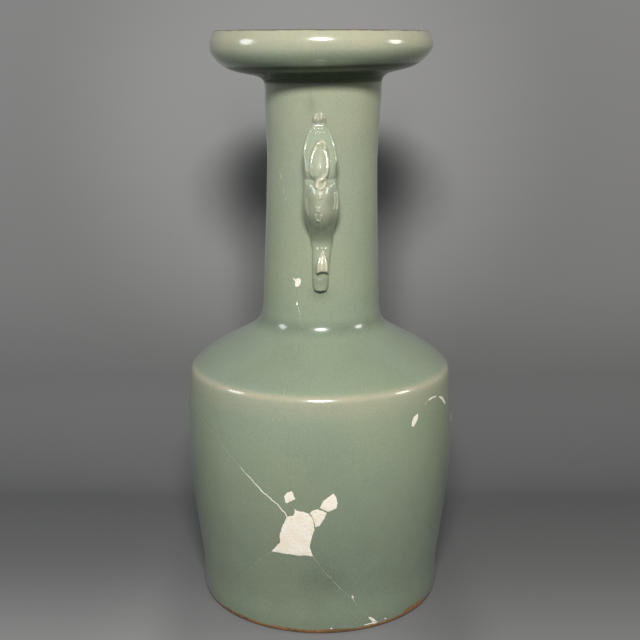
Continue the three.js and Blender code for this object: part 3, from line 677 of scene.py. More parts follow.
# Strokes raised on it: a path of (right, height), half width, how far it stands up and how thin it leaves
# the glaze
STROKES = [
    ([(-1.4, 230.6), (-0.7, 231.2), (0.2, 231.3), (1.0, 230.6), (1.3, 229.4), (1.2, 228.1)], 0.75, 0.7, 0.8),
    ([(-5.8, 236.3), (-7.3, 232.4), (-8.4, 228.5), (-8.7, 225.0)], 0.6, 0.45, 0.15),
    ([(2.7, 236.3), (4.3, 232.9), (5.7, 229.0), (6.3, 225.5), (6.5, 222.6)], 0.6, 0.45, 0.15),
    (
        [(-2.0, 231.1), (-3.4, 228.8), (-4.9, 225.4), (-5.6, 221.6), (-5.5, 218.2), (-4.6, 215.6)],
        0.62, 0.65, 0.25,
    ),
    ([(0.8, 228.8), (1.95, 226.0), (2.65, 222.9), (2.65, 219.7), (2.1, 216.9)], 0.62, 0.65, 0.25),
    ([(-1.05, 228.4), (-1.1, 224.0), (-1.05, 218.0)], 0.55, 0.55, 0.2),
    ([(-7.6, 219.6), (-6.9, 218.4), (-6.2, 218.8)], 0.5, 0.4, 0.4),
    ([(1.35, 216.2), (0.15, 215.2), (-1.35, 214.5), (-2.25, 213.6), (-2.55, 212.1)], 1.0, 1.2, 0.85),
    ([(1.35, 214.8), (1.25, 213.0), (0.45, 211.8), (-0.55, 211.2)], 0.8, 0.9, 0.75),
    ([(-0.95, 211.2), (-0.95, 209.4), (-0.95, 207.6)], 0.8, 0.6, 0.65),
    (
        [(-2.8, 200.1), (-2.8, 198.6), (-2.2, 197.6), (-1.0, 197.6), (-0.4, 198.6), (-0.4, 200.1)],
        0.5, 0.45, 0.5,
    ),
    ([(6.9, 209.0), (7.3, 205.5), (6.9, 201.5)], 0.5, 0.4, 0.7),
    ([(5.7, 208.6), (6.0, 205.2), (5.6, 201.8)], 0.45, 0.35, 0.55),
    ([(-7.2, 206.0), (-7.1, 202.5), (-6.4, 199.0)], 0.45, 0.3, 0.35),
    ([(0.6, 179.8), (0.35, 176.1), (0.15, 172.6)], 0.9, 0.45, 0.3),
    ([(0.1, 179.6), (-1.1, 176.4), (-2.0, 171.6)], 0.75, 0.50, 0.2),
    ([(1.0, 179.6), (2.0, 176.2), (2.5, 172.2)], 0.75, 0.60, 0.5),
]


def stroke(x, z, path, half_width):
    """A raised stroke along a path: 1 less the square of the distance over 1.3 half widths, to the power
    1.5."""
    gap, _ = nearest(np.column_stack([x.ravel(), z.ravel()]), smooth(path, 24))
    t = np.clip(gap.reshape(x.shape) / (1.3 * half_width), 0, 1)
    return (1 - t * t) ** 1.5


def handle_relief(x, z):
    """How far the handle's face stands out at a place, right and height in millimetres, and how thin the
    glaze is there. An almond swells under the knob: 1 less the square of the distance from its middle over
    its half width, to the power 0.6, so that it is steepest along its edge. Under it the belly is a ball: 1
    less the squares of both distances over its half lengths, to the power 1.5. Two bell curves make the
    knob's lobes and small ones the dots. Strokes give the crest, the spine, the rims and the tail's
    feathers. The plume widens and stands out more and more downwards, and ends in a step to a low pad. A
    fold across the handle parts the almond from the belly on both sides."""
    t = np.clip(np.abs(x - ALMOND_MIDDLE) / read_off(z, ALMOND_HALF), 0, 1)
    almond = (1 - t * t) ** 0.6 * rise(z, 212.6, 217.0) * (1 - rise(z, 228.5, 232.0))
    right, up = BELLY_MIDDLE
    wide = BELLY_HALF + BELLY_SAG * rise(up - z, 0.0, 9.0)
    long = np.where(z > up, BELLY_ABOVE, BELLY_BELOW)
    belly = np.maximum(0, 1 - ((x - right) / wide) ** 2 - ((z - up) / long) ** 2) ** 1.5
    height = ALMOND_UP * almond + BELLY_UP * belly
    thin = 0.16 * almond + 0.26 * belly + 0.12
    for path, width, up, pale in STROKES:
        mark = stroke(x, z, path, width)
        height += up * mark
        thin += pale * mark
    right, up = BOX_MIDDLE
    box = rise(BOX_HALF - np.maximum(np.abs(x - right), np.abs(z - up)), 0.0, 0.6)
    height += 0.45 * box
    thin += 0.3 * box
    for middle in DOTS:
        dot = bell(x, z, middle, (DOT_SPREAD, DOT_SPREAD))
        height += 0.40 * dot
        thin += 0.8 * dot
    knob = rise(z, 237.9, 239.0)
    lobes = sum(bell(x, z, lobe[:2], lobe[2:]) for lobe in KNOB_LOBES)
    height += 0.3 * knob + LOBE_UP * lobes
    thin += 0.20 * knob + 0.8 * lobes
    fold = np.exp(-(((z - FOLD_HEIGHT) / 1.3) ** 2)) * rise(np.abs(x + 0.9), 1.5, 4.0)
    aside = x - PLUME_MIDDLE
    plume = rise(read_off(z, PLUME_HALF) - np.abs(aside), -0.3, 0.7)
    plume = plume * rise(z + 0.12 * aside**2, 170.4, 171.9) * (1 - rise(z, 179.8, 181.2))
    height += (0.3 + PLUME_SLOPE * np.maximum(PLUME_TOP - z, 0)) * plume
    height -= 0.9 * fold + 0.3 * bell(x, z, TAIL_PIT, (1.2, 1.2))
    thin += 0.40 * plume
    return height, np.clip(thin, 0, 1)


def handle_piece(name, material, side, seat_wall):
    """Rings square to a smooth centre line. Each is a rounded square: the cosine and sine of the turn over
    the nth root of the sum of their nth powers, where n is the squareness. The turns crowd together on the
    outer half, which is lifted by the relief. What would pass into the neck is laid on it. Both ends close in
    a small quarter round. Side is 1 at the front, -1 at the back. Glaze pools where the relief is low and on
    the sides. Below the belly at the waist, and on the tail's pad under the plume, a darker value is painted
    shade. The glaze lies thin along the edges of the upper half."""
    line = smooth(HANDLE, 14)
    out, height, width, depth, shift, square = [column[:, None] for column in line.T]
    slope = np.gradient(line[:, :2], axis=0)
    slope /= np.linalg.norm(slope, axis=1)[:, None]
    end = np.r_[0, np.cumsum(np.linalg.norm(np.diff(line[:, :2], axis=0), axis=1))]
    taper = np.minimum(1, np.minimum(end / HANDLE_TOP_ROUND, (end[-1] - end) / HANDLE_TAIL_ROUND))
    taper = np.sqrt(np.clip(1 - (1 - taper) ** 2, 0, 1))[:, None]
    turn = np.linspace(0, 2 * np.pi, HANDLE_AROUND, endpoint=False)
    turn = turn + HANDLE_CROWDING * np.cos(turn)
    c, s = np.cos(turn)[None, :], np.sin(turn)[None, :]
    root = (np.abs(c) ** square + np.abs(s) ** square) ** (-1 / square)
    x = width * taper * c * root + shift
    lift = depth * taper * s * root
    faces_out, faces_up = -slope[:, 1:2], slope[:, 0:1]
    z = height + lift * faces_up
    relief, thin = handle_relief(x, z)
    front = rise(s, 0.05, 0.55) * taper
    lift = lift + relief * front
    reach = NECK_WAIST + out + lift * faces_out
    z = height + lift * faces_up
    neck_radius = np.interp(z, seat_wall.outline[:, 1], seat_wall.outline[:, 0])
    seat = np.sqrt(np.maximum((neck_radius - HANDLE_SEAT) ** 2 - x**2, 0))
    skirt = np.exp(-np.maximum(reach - seat, 0) / 0.9) * (s < 0.5)
    skirt *= rise(z, 205.0, 228.0) + 1 - rise(z, 188.0, 196.0)
    x = shift + (x - shift) * (1 + 0.10 * skirt)
    reach = np.maximum(reach, np.sqrt(np.maximum((neck_radius - HANDLE_SEAT) ** 2 - x**2, 0)))
    points = np.stack([side * x, -side * reach, z], -1).reshape(-1, 3)
    rings = len(line)
    number = np.arange(rings * HANDLE_AROUND).reshape(rings, HANDLE_AROUND)
    right = np.roll(number, -1, 1)
    quads = np.stack([number[:-1], right[:-1], right[1:], number[1:]], -1).reshape(-1, 4)
    poles = len(points) + np.arange(2)
    points = np.vstack([points, points[number[0]].mean(0), points[number[-1]].mean(0)])
    faces = np.vstack([
        quads[:, [0, 1, 2]],
        quads[:, [0, 2, 3]],
        np.column_stack([right[0], number[0], np.full(HANDLE_AROUND, poles[0])]),
        np.column_stack([number[-1], right[-1], np.full(HANDLE_AROUND, poles[1])]),
    ])
    a, b, d = points[faces[:, 0]], points[faces[:, 1]], points[faces[:, 2]]
    if np.einsum("ij,ij->i", a, np.cross(b, d)).sum() < 0:
        faces = faces[:, ::-1]
    low = 0.15 * (1 - rise(relief, 0.0, 0.9)) * front + 0.45 * (1 - rise(s, -0.2, 0.3))
    # Painted shade: the waist below the belly and the tail's pad under the plume are darkened
    low = low + 0.75 * hump(z, 188.5, 7.0) + 0.6 * hump(z, 165.5, 4.5)
    low = low + 0.35 * bell(x, z, TAIL_POOL_AND_SHADE, (3.0, 3.0))
    low = low * (1 - np.clip(thin * 2, 0, 1))
    edge = 0.25 * hump(np.abs(s) + 0 * z, 0.32, 0.2) * rise(z, 200.0, 214.0)
    thin = np.clip(thin * front + edge, 0, 1)
    fields = {
        "thin": np.r_[thin.ravel(), 0.3, 0.2],
        "pool_and_shade": np.r_[np.clip(low + 0 * z, 0, 1).ravel(), 0.3, 0.3],
        "line": np.full(len(points), NO_LINE),
        "pale": np.zeros(len(points)),
    }
    return mesh_piece(name, lean(points), faces, material, None, fields)


class Finish:
    """A material under construction: its node tree, its shader, and short ways to add nodes."""

    def __init__(self, name, roughness):
        self.material = bpy.data.materials.new(name)
        self.material.use_nodes = True
        self.tree = self.material.node_tree
        self.shader = self.tree.nodes["Principled BSDF"]
        self.shader.inputs["Roughness"].default_value = roughness
        self.place = self.tree.nodes.new("ShaderNodeTexCoord").outputs["Object"]

    def feed(self, socket, value):
        """Links an output into a socket, or sets the socket to a number or a colour."""
        if isinstance(value, bpy.types.NodeSocket):
            self.tree.links.new(value, socket)
        else:
            socket.default_value = (*value, 1) if isinstance(value, tuple) else value

    def noise(self, size, detail=3.0, stretch=(1, 1, 1)):
        """Soft noise whose lumps are about this many millimetres across, on Object coordinates."""
        mapping = self.tree.nodes.new("ShaderNodeMapping")
        mapping.inputs["Scale"].default_value = stretch
        self.feed(mapping.inputs["Vector"], self.place)
        node = self.tree.nodes.new("ShaderNodeTexNoise")
        self.feed(node.inputs["Vector"], mapping.outputs["Vector"])
        node.inputs["Scale"].default_value = 1 / (size * MM)
        node.inputs["Detail"].default_value = detail
        return node.outputs["Fac"]

    def cells(self, size):
        """Distance to the middle of the nearest of many scattered cells this many millimetres across."""
        node = self.tree.nodes.new("ShaderNodeTexVoronoi")
        node.inputs["Scale"].default_value = 1 / (size * MM)
        self.feed(node.inputs["Vector"], self.place)
        return node.outputs["Distance"]

    def field(self, name):
        """A value stored on the piece's points."""
        node = self.tree.nodes.new("ShaderNodeAttribute")
        node.attribute_name = name
        return node.outputs["Fac"]

    def ease(self, value, low, high, to_low=0.0, to_high=1.0):
        """A value carried from one span to another along an S curve, held at both ends."""
        node = self.tree.nodes.new("ShaderNodeMapRange")
        node.interpolation_type = "SMOOTHSTEP"
        node.inputs["From Min"].default_value = low
        node.inputs["From Max"].default_value = high
        node.inputs["To Min"].default_value = to_low
        node.inputs["To Max"].default_value = to_high
        self.feed(node.inputs["Value"], value)
        return node.outputs["Result"]

    def sums(self, operation, first, second):
        """Two values added, multiplied or otherwise worked together."""
        node = self.tree.nodes.new("ShaderNodeMath")
        node.operation = operation
        self.feed(node.inputs[0], first)
        self.feed(node.inputs[1], second)
        return node.outputs["Value"]

    def mix(self, share, first, second):
        """One colour laid over another by a share."""
        node = self.tree.nodes.new("ShaderNodeMix")
        node.data_type = "RGBA"
        self.feed(node.inputs[0], share)
        self.feed(node.inputs[6], first)
        self.feed(node.inputs[7], second)
        return node.outputs[2]

    def across_back_up(self):
        """A place's three coordinates, in metres: to the right, to the back and up from the resting plane."""
        node = self.tree.nodes.new("ShaderNodeSeparateXYZ")
        self.feed(node.inputs["Vector"], self.place)
        return node.outputs

    def bumps(self, *layers):
        """Uneven surface: each layer is a value and how many millimetres its full range stands up."""
        normal = None
        for value, distance in layers:
            node = self.tree.nodes.new("ShaderNodeBump")
            node.inputs["Distance"].default_value = distance * MM
            self.feed(node.inputs["Height"], value)
            if normal is not None:
                self.feed(node.inputs["Normal"], normal)
            normal = node.outputs["Normal"]
        self.feed(self.shader.inputs["Normal"], normal)


# Colours, as linear light
CELADON = (0.288, 0.338, 0.228)
CELADON_COOL = (0.262, 0.325, 0.244)
CELADON_DEEP = (0.165, 0.208, 0.148)
# Near black green: the thickest pooled glaze, and painted shade under the dish and on the handle
CELADON_DEEP_POOL_AND_SHADE = (0.070, 0.090, 0.058)
THIN_GLAZE = (0.420, 0.405, 0.295)
HANDLE_BEIGE = (0.580, 0.550, 0.410)
GRAIN_LIGHT = (0.620, 0.660, 0.500)
GRAIN_DARK = (0.000, 0.000, 0.000)
IRON_SPECK = (0.130, 0.150, 0.090)
LIP_BROWN = (0.120, 0.090, 0.058)
CRACK_PALE = (0.420, 0.460, 0.340)
CRACK_DARK = (0.100, 0.125, 0.085)
CLAY_BROWN = (0.200, 0.115, 0.045)
CLAY_ORANGE = (0.360, 0.170, 0.050)
CLAY_BURNT = (0.060, 0.032, 0.014)
CLAY_GRIT = (0.450, 0.360, 0.240)
FILLER_CREAM = (0.930, 0.890, 0.800)
FILLER_WHITE = (0.880, 0.860, 0.800)
FILLER_PIT = (0.420, 0.330, 0.200)
KNIFE_STREAK = (0.600, 0.540, 0.420)

# Roughness of the glaze, of the filler in a mended break and of bare clay, and the glaze's coat and shine
GLAZE_ROUGH = 0.20
FILLER_ROUGH = 0.75
CLAY_ROUGH = 0.8
COAT = 0.6
SHINE = 0.5
# The shine left where the painted shade under the dish is darkest, so that no reflection shows there
DEEPEST_SHINE = 0.06

# Heights, in metres: where the foot's clay gives way to glaze, and where the lip's crown is worn brown
CLAY_EDGE = (0.0018, 0.0025)
CROWN = (0.27930, 0.27975)
# Right of the front the clay shows higher by BARE_PATCH_UP: the places across, in metres, where that starts,
# is full, fades and ends
BARE_PATCH = (0.0395, 0.0430, 0.0490, 0.0530)
BARE_PATCH_UP = 0.0018


def celadon(finish, bare):
    """The fired glaze's colour. It drifts between two greens in clouds, goes deep where it pooled and takes
    the bare colour where it ran thin. Both are mottled. Grains of light and dark and a few iron specks show
    close to. Where the pooled value nears 1 the colour goes near black green and the coat and shine fall
    away. Under the dish and at the handle's waist and pad this is painted shade that shows no reflection, and
    elsewhere it is the thickest pooled glaze."""
    clouds = finish.noise(62, 4)
    mottle = finish.noise(9, 5)
    grain = finish.noise(0.7, 3)
    colour = finish.mix(finish.ease(clouds, 0.32, 0.68), CELADON, CELADON_COOL)
    pooled = finish.sums("MULTIPLY", finish.field("pool_and_shade"), finish.ease(mottle, 0.2, 0.8, 0.85, 1.1))
    colour = finish.mix(pooled, colour, CELADON_DEEP)
    # Painted shade: where the pooled value nears 1, under the dish and on the handle's waist and pad, the
    # glaze turns near black and loses its shine
    deepest_and_shade = finish.ease(finish.field("pool_and_shade"), 0.74, 1.0)
    colour = finish.mix(deepest_and_shade, colour, CELADON_DEEP_POOL_AND_SHADE)
    thin = finish.sums("MULTIPLY", finish.field("thin"), finish.ease(mottle, 0.25, 0.75, 0.78, 1.15))
    colour = finish.mix(thin, colour, bare)
    shade = finish.ease(grain, 0.25, 0.75)
    colour = finish.mix(finish.ease(shade, 0.0, 0.5, 0.075, 0.0), colour, GRAIN_DARK)
    colour = finish.mix(finish.ease(shade, 0.5, 1.0, 0.0, 0.060), colour, GRAIN_LIGHT)
    colour = finish.mix(finish.ease(finish.cells(4.6), 0.035, 0.075, 0.55, 0.0), colour, IRON_SPECK)
    finish.feed(finish.shader.inputs["Coat Weight"], finish.ease(deepest_and_shade, 0.0, 1.0, COAT, 0.0))
    shine = finish.ease(deepest_and_shade, 0.0, 1.0, SHINE, DEEPEST_SHINE)
    finish.feed(finish.shader.inputs["Specular IOR Level"], shine)
    finish.shader.inputs["Coat Roughness"].default_value = 0.07
    finish.bumps((finish.noise(34, 2), 0.35), (mottle, 0.035), (finish.noise(1.6, 2), 0.004))
    return colour


def mended(finish, colour):
    """Lays the mended breaks over a colour, and gives the roughness that goes with them. Within a ragged half
    width of a line the filler shows, whiter the paler the line is, and in patches where it is faint. Round
    that a thin dark halo is left where the line isn't pale."""
    ragged = finish.ease(finish.noise(0.9, 3), 0.2, 0.8, 0.65, 1.35)
    line = finish.sums("MULTIPLY", finish.field("line"), ragged)
    core = finish.ease(line, 0.75, 1.15, 1.0, 0.0)
    paleness = finish.field("pale")
    patchy = finish.ease(finish.noise(3.4, 2), 0.40, 0.58, 0.25, 1.0)
    kept = finish.sums("MAXIMUM", patchy, finish.ease(paleness, 0.6, 0.9))
    shown = finish.sums("MULTIPLY", finish.ease(paleness, 0.0, 0.5, 0.15, 1.0), kept)
    pale = finish.sums("MULTIPLY", core, shown)
    halo = finish.ease(line, 0.8, 3.0, 0.20, 0.0)
    dark = finish.sums("MULTIPLY", halo, finish.sums("SUBTRACT", 1.0, paleness))
    colour = finish.mix(dark, colour, CRACK_DARK)
    filled = finish.mix(finish.ease(paleness, 0.35, 0.9), CRACK_PALE, FILLER_CREAM)
    rough = finish.ease(finish.sums("MULTIPLY", pale, paleness), 0.2, 0.8, GLAZE_ROUGH, FILLER_ROUGH)
    return finish.mix(pale, colour, filled), rough


def bare_foot(finish, colour, rough):
    """Lays bare clay over the lowest edge of a colour and of its roughness. The edge wanders, climbs a little
    here and there, and climbs most in a patch right of the front. The clay is burnt orange and brown, with
    darker scorching and pale grit."""
    across, _, up = finish.across_back_up()
    wander = finish.ease(finish.noise(16, 3), 0.25, 0.75, -0.0003, 0.0007)
    climbs = finish.ease(finish.noise(11, 2), 0.64, 0.76, 0.0, 0.0013)
    start, full, fade, end = BARE_PATCH
    patch = finish.ease(across, fade, end, BARE_PATCH_UP, 0.0)
    patch = finish.sums("MULTIPLY", finish.ease(across, start, full), patch)
    edge = finish.sums("ADD", wander, finish.sums("MAXIMUM", climbs, patch))
    bare = finish.ease(finish.sums("SUBTRACT", up, edge), *CLAY_EDGE, 1.0, 0.0)
    clay = finish.mix(finish.ease(finish.noise(9, 4), 0.35, 0.65), CLAY_BROWN, CLAY_ORANGE)
    clay = finish.mix(finish.ease(finish.noise(1.2, 3), 0.3, 0.7, 0.0, 0.5), clay, CLAY_BURNT)
    clay = finish.mix(finish.ease(finish.cells(1.1), 0.08, 0.16, 0.5, 0.0), clay, CLAY_GRIT)
    rough = finish.sums("MAXIMUM", rough, finish.ease(bare, 0.3, 0.9, 0.0, CLAY_ROUGH))
    return finish.mix(bare, colour, clay), rough


def worn_crown(finish, colour):
    """Lays the brown of the clay over a colour where the lip's crown is worn, above a wandering height."""
    _, _, up = finish.across_back_up()
    wander = finish.ease(finish.noise(7, 3), 0.3, 0.7, -0.00012, 0.00018)
    crown = finish.ease(finish.sums("ADD", up, wander), *CROWN, 0.0, 0.85)
    return finish.mix(crown, colour, LIP_BROWN)


def glaze_finish(name, cracks=True, foot=False, lip=False, bare=THIN_GLAZE):
    """Fired celadon glaze, with the mended breaks, the bare edge of the foot or the lip's worn crown laid
    over it where they are asked for."""
    finish = Finish(name, GLAZE_ROUGH)
    colour = celadon(finish, bare)
    rough = GLAZE_ROUGH
    if cracks:
        colour, rough = mended(finish, colour)
    if foot:
        colour, rough = bare_foot(finish, colour, rough)
    if lip:
        colour = worn_crown(finish, colour)
    finish.feed(finish.shader.inputs["Roughness"], rough)
    finish.feed(finish.shader.inputs["Base Color"], colour)
    return finish.material


def filler_finish(name, tint):
    """Dry plaster filler, tooled by hand: drifting between its tint and a warmer one, with streaks of the
    knife, small brown pits and a powdery surface."""
    finish = Finish(name, 0.9)
    warm = tuple(c * k for c, k in zip(tint, (0.97, 0.92, 0.84)))
    colour = finish.mix(finish.ease(finish.noise(5, 4), 0.35, 0.65), tint, warm)
    pits = finish.ease(finish.cells(1.7), 0.10, 0.20, 0.55, 0.0)
    spread = finish.ease(finish.noise(4, 2), 0.50, 0.62)
    colour = finish.mix(finish.sums("MULTIPLY", pits, spread), colour, FILLER_PIT)
    streak = finish.noise(2.2, 4, (1.0, 1.0, 3.5))
    colour = finish.mix(finish.ease(streak, 0.55, 0.72, 0.0, 0.22), colour, KNIFE_STREAK)
    finish.feed(finish.shader.inputs["Base Color"], colour)
    finish.bumps((streak, 0.16), (finish.noise(0.5, 3), 0.05), (pits, -0.12))
    return finish.material


wall_glaze = glaze_finish("celadon glaze on the body", foot=True)
neck_glaze = glaze_finish("celadon glaze on neck and shoulder")
dish_glaze = glaze_finish("celadon glaze on the dish", cracks=False, lip=True)
handle_glaze = glaze_finish("celadon glaze on the handles", cracks=False, bare=HANDLE_BEIGE)
cream_filler = filler_finish("cream filler", FILLER_CREAM)
white_filler = filler_finish("white filler", FILLER_WHITE)

# Body, its sherds and its fills
body = Wall(FOOT_TOP, RIDGE, BODY_INSIDE, BODY_ROUND)
breaks = [broken(body.flat(path)) for path in (LEFT_BREAK, UPPER_BREAK, RIGHT_BREAK, LOW_BREAK)]
left_break, upper_break, right_break, low_break = [path[:, :2] for path in breaks]
upper_sherd = np.vstack([left_break, upper_break[::-1]])
lower_sherd = np.vstack([right_break, low_break[::-1]])
dressed_wall(
    body,
    ["body_wall", "body_sherd_upper_left", "body_sherd_lower_front"],
    breaks,
    [broken(body.flat(path), step=0.3, waver=0.03) for path in BODY_MARKS],
    {
        "fill_body_main": MAIN_LOSS,
        "fill_body_lobe_lower": LOWER_LOBE,
        "fill_body_lobe_upper": UPPER_LOBE,
        "fill_body_small": SMALL_LOSS,
    },
    {
        "fill_body_leaf": [LEAF_CHIP],
        "fill_body_arc": ARC_CHIP,
        "fill_right_edge": [EDGE_CHIP],
        "fill_foot_chip": [FOOT_CHIP],
    },
    [upper_sherd, lower_sherd],
    wall_glaze,
    cream_filler,
    BODY_PAINTED_SHADE,
)

# Shoulder and neck, with the hairline that runs down both
shoulder = Wall(RIDGE, NECK_ROOT, SHOULDER_INSIDE, SHOULDER_ROUND)
hairlines = [broken(shoulder.flat(path)) for path in (SHOULDER_HAIRLINE, SHOULDER_BRANCH)]
dressed_wall(shoulder, ["shoulder"], hairlines, [], {}, {}, [], neck_glaze, cream_filler)
neck = Wall(NECK_ROOT, NECK_TOP, NECK_INSIDE, NECK_ROUND)
dressed_wall(
    neck,
    ["neck"],
    [broken(neck.flat(NECK_HAIRLINE))],
    [broken(neck.flat(path), step=0.3, waver=0.03) for path in NECK_SCRATCHES],
    {},
    {"fill_neck_chip": [NECK_CHIP], "fill_neck_pinhole": [NECK_PINHOLE]},
    [],
    neck_glaze,
    white_filler,
    NECK_STAIN_AND_PAINTED_SHADOW,
)

# Dish, foot ring and base slab. The glaze pools a little in the dish's well
ROUND = 288  # columns round the dish and the foot
whole = smooth(OUTSIDE + LIP[1:] + DISH_INSIDE[1:], 40)
start = np.argmax(whole[:, 1] > NECK_TOP)
join = (np.interp(NECK_TOP, whole[: start + 1, 1], whole[: start + 1, 0]), NECK_TOP)
dish_outline = even_rows(np.vstack([join, whole[start + 1:]]), step=1.1, turn=3.5)
# The dish's underside takes painted shade from the pooled value
dish_fields = {"thin": thinness(dish_outline[:, 1]), "pool_and_shade": pooling_and_painted_shade(dish_outline[:, 1])}
inner_side = np.arange(len(dish_outline)) > dish_outline[:, 1].argmax()
dish_fields["pool_and_shade"][inner_side] = 0.3 * (1 - rise(dish_outline[inner_side, 1], 262.0, 272.0))
ring_piece("mouth_dish", dish_outline, ROUND, dish_glaze, dish_fields)
foot_outline = np.array([
    (51.7, 2.4), (51.7, 0.8), (51.9, 0.25), (52.5, 0.0), (58.2, 0.0), (58.9, 0.15), (59.4, 0.6),
    (59.75, 1.3), (59.9, 2.0), (59.9, 2.4),
])
foot_fields = {"line": np.full(len(foot_outline), NO_LINE), "pool_and_shade": np.full(len(foot_outline), 0.5)}
ring_piece("foot_ring", foot_outline, ROUND, wall_glaze, foot_fields)
slab_outline = np.array([
    (0.0, 6.0), (18.0, 6.0), (36.0, 6.0), (52.8, 6.0), (54.1, 7.2), (54.3, 10.4), (53.2, 11.9), (51.2, 12.5),
    (34.0, 12.5), (17.0, 12.5), (0.0, 12.5),
])
ring_piece("base_slab", slab_outline, 96, handle_glaze, {"pool_and_shade": np.full(len(slab_outline), 0.15)})

handle_piece("handle_front", handle_glaze, 1, neck)
handle_piece("handle_back", handle_glaze, -1, neck)

# Ground, in metres: a flat floor that curves up into a wall close behind the vase, which throws its shadow
# there. Seen from behind, the wall lets the view through
REACH = 2.4
CURVE = 0.06
WALL_BACK = 0.168
FLOOR_BACK = WALL_BACK - CURVE
WALL_TOP = 0.46
GROUND_PALE = (0.285, 0.285, 0.288)
GROUND_DARK = (0.272, 0.272, 0.275)
# The colour of the painted shade, then the colour of the painted light on the floor in front
GROUND_PAINTED_SHADE = (0.110, 0.112, 0.116)
GROUND_PAINTED_LIGHT = (0.430, 0.430, 0.434)
# Light is painted on the wall in an oval round the neck: its middle's place across and up, and its half width
PAINTED_LIGHT_MIDDLE = (-0.010, 0.215)
PAINTED_LIGHT_HALF = 0.14


def paper_finish():
    """Matt grey paper with painted shade and painted light, its tone set by where on the sweep a place is.
    Run is how far back and up it is along the sweep, and aside how far it is from the middle. Each painted
    shade is an S curve of one times one of another, and lays the dark tone over what is there by its share.
    The floor in front is painted lighter."""
    finish = Finish("paper sweep with painted shade", 0.95)
    finish.shader.inputs["Specular IOR Level"].default_value = 0.2
    across, back, up = finish.across_back_up()
    run = finish.sums("ADD", back, up)
    aside = finish.sums("ABSOLUTE", across, 0.0)
    # Painted shade all along the fold between the floor and the wall
    fold = finish.sums("MULTIPLY", finish.ease(run, -0.08, 0.11), finish.ease(run, 0.15, 0.31, 0.72, 0.0))
    # Painted shadow of the neck on the wall straight behind it
    painted_neck_shadow = finish.ease(aside, 0.042, 0.068, 0.42, 0.0)
    painted_neck_shadow = finish.sums("MULTIPLY", painted_neck_shadow, finish.ease(run, 0.21, 0.27))
    painted_neck_shadow = finish.sums("MULTIPLY", painted_neck_shadow, finish.ease(run, 0.42, 0.35))
    # Painted shadow close round the body, low down
    close = finish.sums("MULTIPLY", finish.ease(aside, 0.060, 0.092, 0.45, 0.0), finish.ease(run, 0.24, 0.15))
    # Painted shade on the right, more and more downwards, and on the floor on the left
    right = finish.sums("MULTIPLY", finish.ease(across, 0.02, 0.07), finish.ease(run, 0.30, 0.14, 0.04, 0.46))
    left = finish.sums("MULTIPLY", finish.ease(across, -0.04, -0.13), finish.ease(run, 0.12, 0.02, 0.0, 0.24))
    # Painted shade outside the painted oval of light
    squares = []
    for place, middle in zip((across, up), PAINTED_LIGHT_MIDDLE):
        offset = finish.sums("DIVIDE", finish.sums("SUBTRACT", place, middle), PAINTED_LIGHT_HALF)
        squares.append(finish.sums("POWER", offset, 2.0))
    oval = finish.sums("SQRT", finish.sums("ADD", *squares), 0.0)
    beyond_painted_light = finish.ease(oval, 0.5, 1.3, 0.0, 0.42)
    tone = finish.mix(finish.ease(finish.noise(300, 2), 0.3, 0.7), GROUND_PALE, GROUND_DARK)
    # Painted light: the floor in front of the vase is lighter
    tone = finish.mix(finish.ease(run, 0.03, -0.07), tone, GROUND_PAINTED_LIGHT)
    for shade in (fold, painted_neck_shadow, close, right, left, beyond_painted_light):
        tone = finish.mix(shade, tone, GROUND_PAINTED_SHADE)
    finish.feed(finish.shader.inputs["Base Color"], tone)
    facing = finish.tree.nodes.new("ShaderNodeNewGeometry").outputs["Backfacing"]
    looking = finish.tree.nodes.new("ShaderNodeLightPath").outputs["Is Camera Ray"]
    clear = finish.tree.nodes.new("ShaderNodeBsdfTransparent").outputs["BSDF"]
    either = finish.tree.nodes.new("ShaderNodeMixShader")
    finish.feed(either.inputs[0], finish.sums("MULTIPLY", facing, looking))
    finish.feed(either.inputs[1], finish.shader.outputs["BSDF"])
    finish.feed(either.inputs[2], clear)
    finish.feed(finish.tree.nodes["Material Output"].inputs["Surface"], either.outputs[0])
    return finish.material


turn = np.linspace(0, np.pi / 2, 17)
sweep_y = np.r_[-REACH, FLOOR_BACK + CURVE * np.sin(turn), FLOOR_BACK + CURVE]
sweep_z = np.r_[0.0, CURVE * (1 - np.cos(turn)), WALL_TOP]
left_edge = np.column_stack([np.full(len(sweep_y), -REACH), sweep_y, sweep_z])
right_edge = left_edge * (-1, 1, 1)
count = len(sweep_y)
low = np.arange(count - 1)
sweep_points = np.vstack([left_edge, right_edge])
sweep_faces = np.column_stack([low, low + count, low + count + 1, low + 1])
sweep_mesh = bpy.data.meshes.new("ground")
sweep_mesh.from_pydata(sweep_points.tolist(), [], sweep_faces.tolist(), shade_flat=False)
sweep_mesh.materials.append(paper_finish())
ground = bpy.data.objects.new("ground", sweep_mesh)
bpy.context.scene.collection.objects.link(ground)

# Lamps and the camera, in metres and degrees
WORLD_COLOUR = (0.96, 0.98, 1.0, 1)
WORLD_LIGHT = 0.05
MIDDLE = 0.16  # the height that the lamps look at
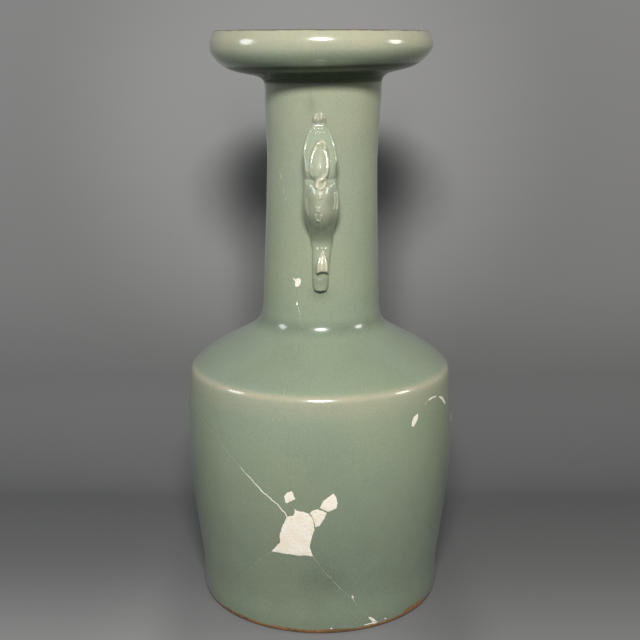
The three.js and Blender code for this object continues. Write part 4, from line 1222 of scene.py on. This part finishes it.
# The photograph's view, in points of its frame: its width, the lens's length, and how far down at that length
# the view is turned
PHOTO_WIDTH = 640.0
PHOTO_LENS = 1105.0
PHOTO_DROP = 274.0
CAMERA_PLACE = (0.0, -0.5364, 0.2730)
SENSOR = 36.0

world = bpy.data.worlds.new("studio")
world.use_nodes = True
world.node_tree.nodes["Background"].inputs["Color"].default_value = WORLD_COLOUR
world.node_tree.nodes["Background"].inputs["Strength"].default_value = WORLD_LIGHT
bpy.context.scene.world = world


def softbox(name, azimuth, elevation, distance, size, watts, colour):
    """An oval lamp that looks at the vase's middle from an azimuth round the front."""
    lamp = bpy.data.lights.new(name, "AREA")
    lamp.shape = "ELLIPSE"
    lamp.size, lamp.size_y = size
    lamp.energy = watts
    lamp.color = colour
    box = bpy.data.objects.new(name, lamp)
    a, e = math.radians(azimuth), math.radians(elevation)
    box.location = (
        distance * math.sin(a) * math.cos(e),
        -distance * math.cos(a) * math.cos(e),
        MIDDLE + distance * math.sin(e),
    )
    box.rotation_euler = (math.pi / 2 - e, 0, a)
    bpy.context.scene.collection.objects.link(box)


softbox(
    "front softbox", azimuth=0, elevation=33.3, distance=0.936, size=(0.24, 0.13), watts=10.0,
    colour=(1.0, 0.985, 0.95),
)
softbox(
    "left softbox", azimuth=-78, elevation=22.0, distance=0.561, size=(0.15, 0.17), watts=0.46,
    colour=(0.90, 0.96, 1.0),
)
softbox(
    "right softbox", azimuth=77, elevation=22.0, distance=0.561, size=(0.14, 0.15), watts=0.50,
    colour=(1.0, 0.98, 0.92),
)

camera_data = bpy.data.cameras.new("camera")
camera_data.sensor_width = SENSOR
camera_data.lens = SENSOR * PHOTO_LENS / PHOTO_WIDTH
camera = bpy.data.objects.new("camera", camera_data)
camera.location = CAMERA_PLACE
camera.rotation_euler = (math.pi / 2 - math.atan(PHOTO_DROP / PHOTO_LENS), 0, 0)
bpy.context.scene.collection.objects.link(camera)
bpy.context.scene.camera = camera
bpy.context.scene.view_settings.view_transform = "Standard"

bpy.context.view_layer.update()
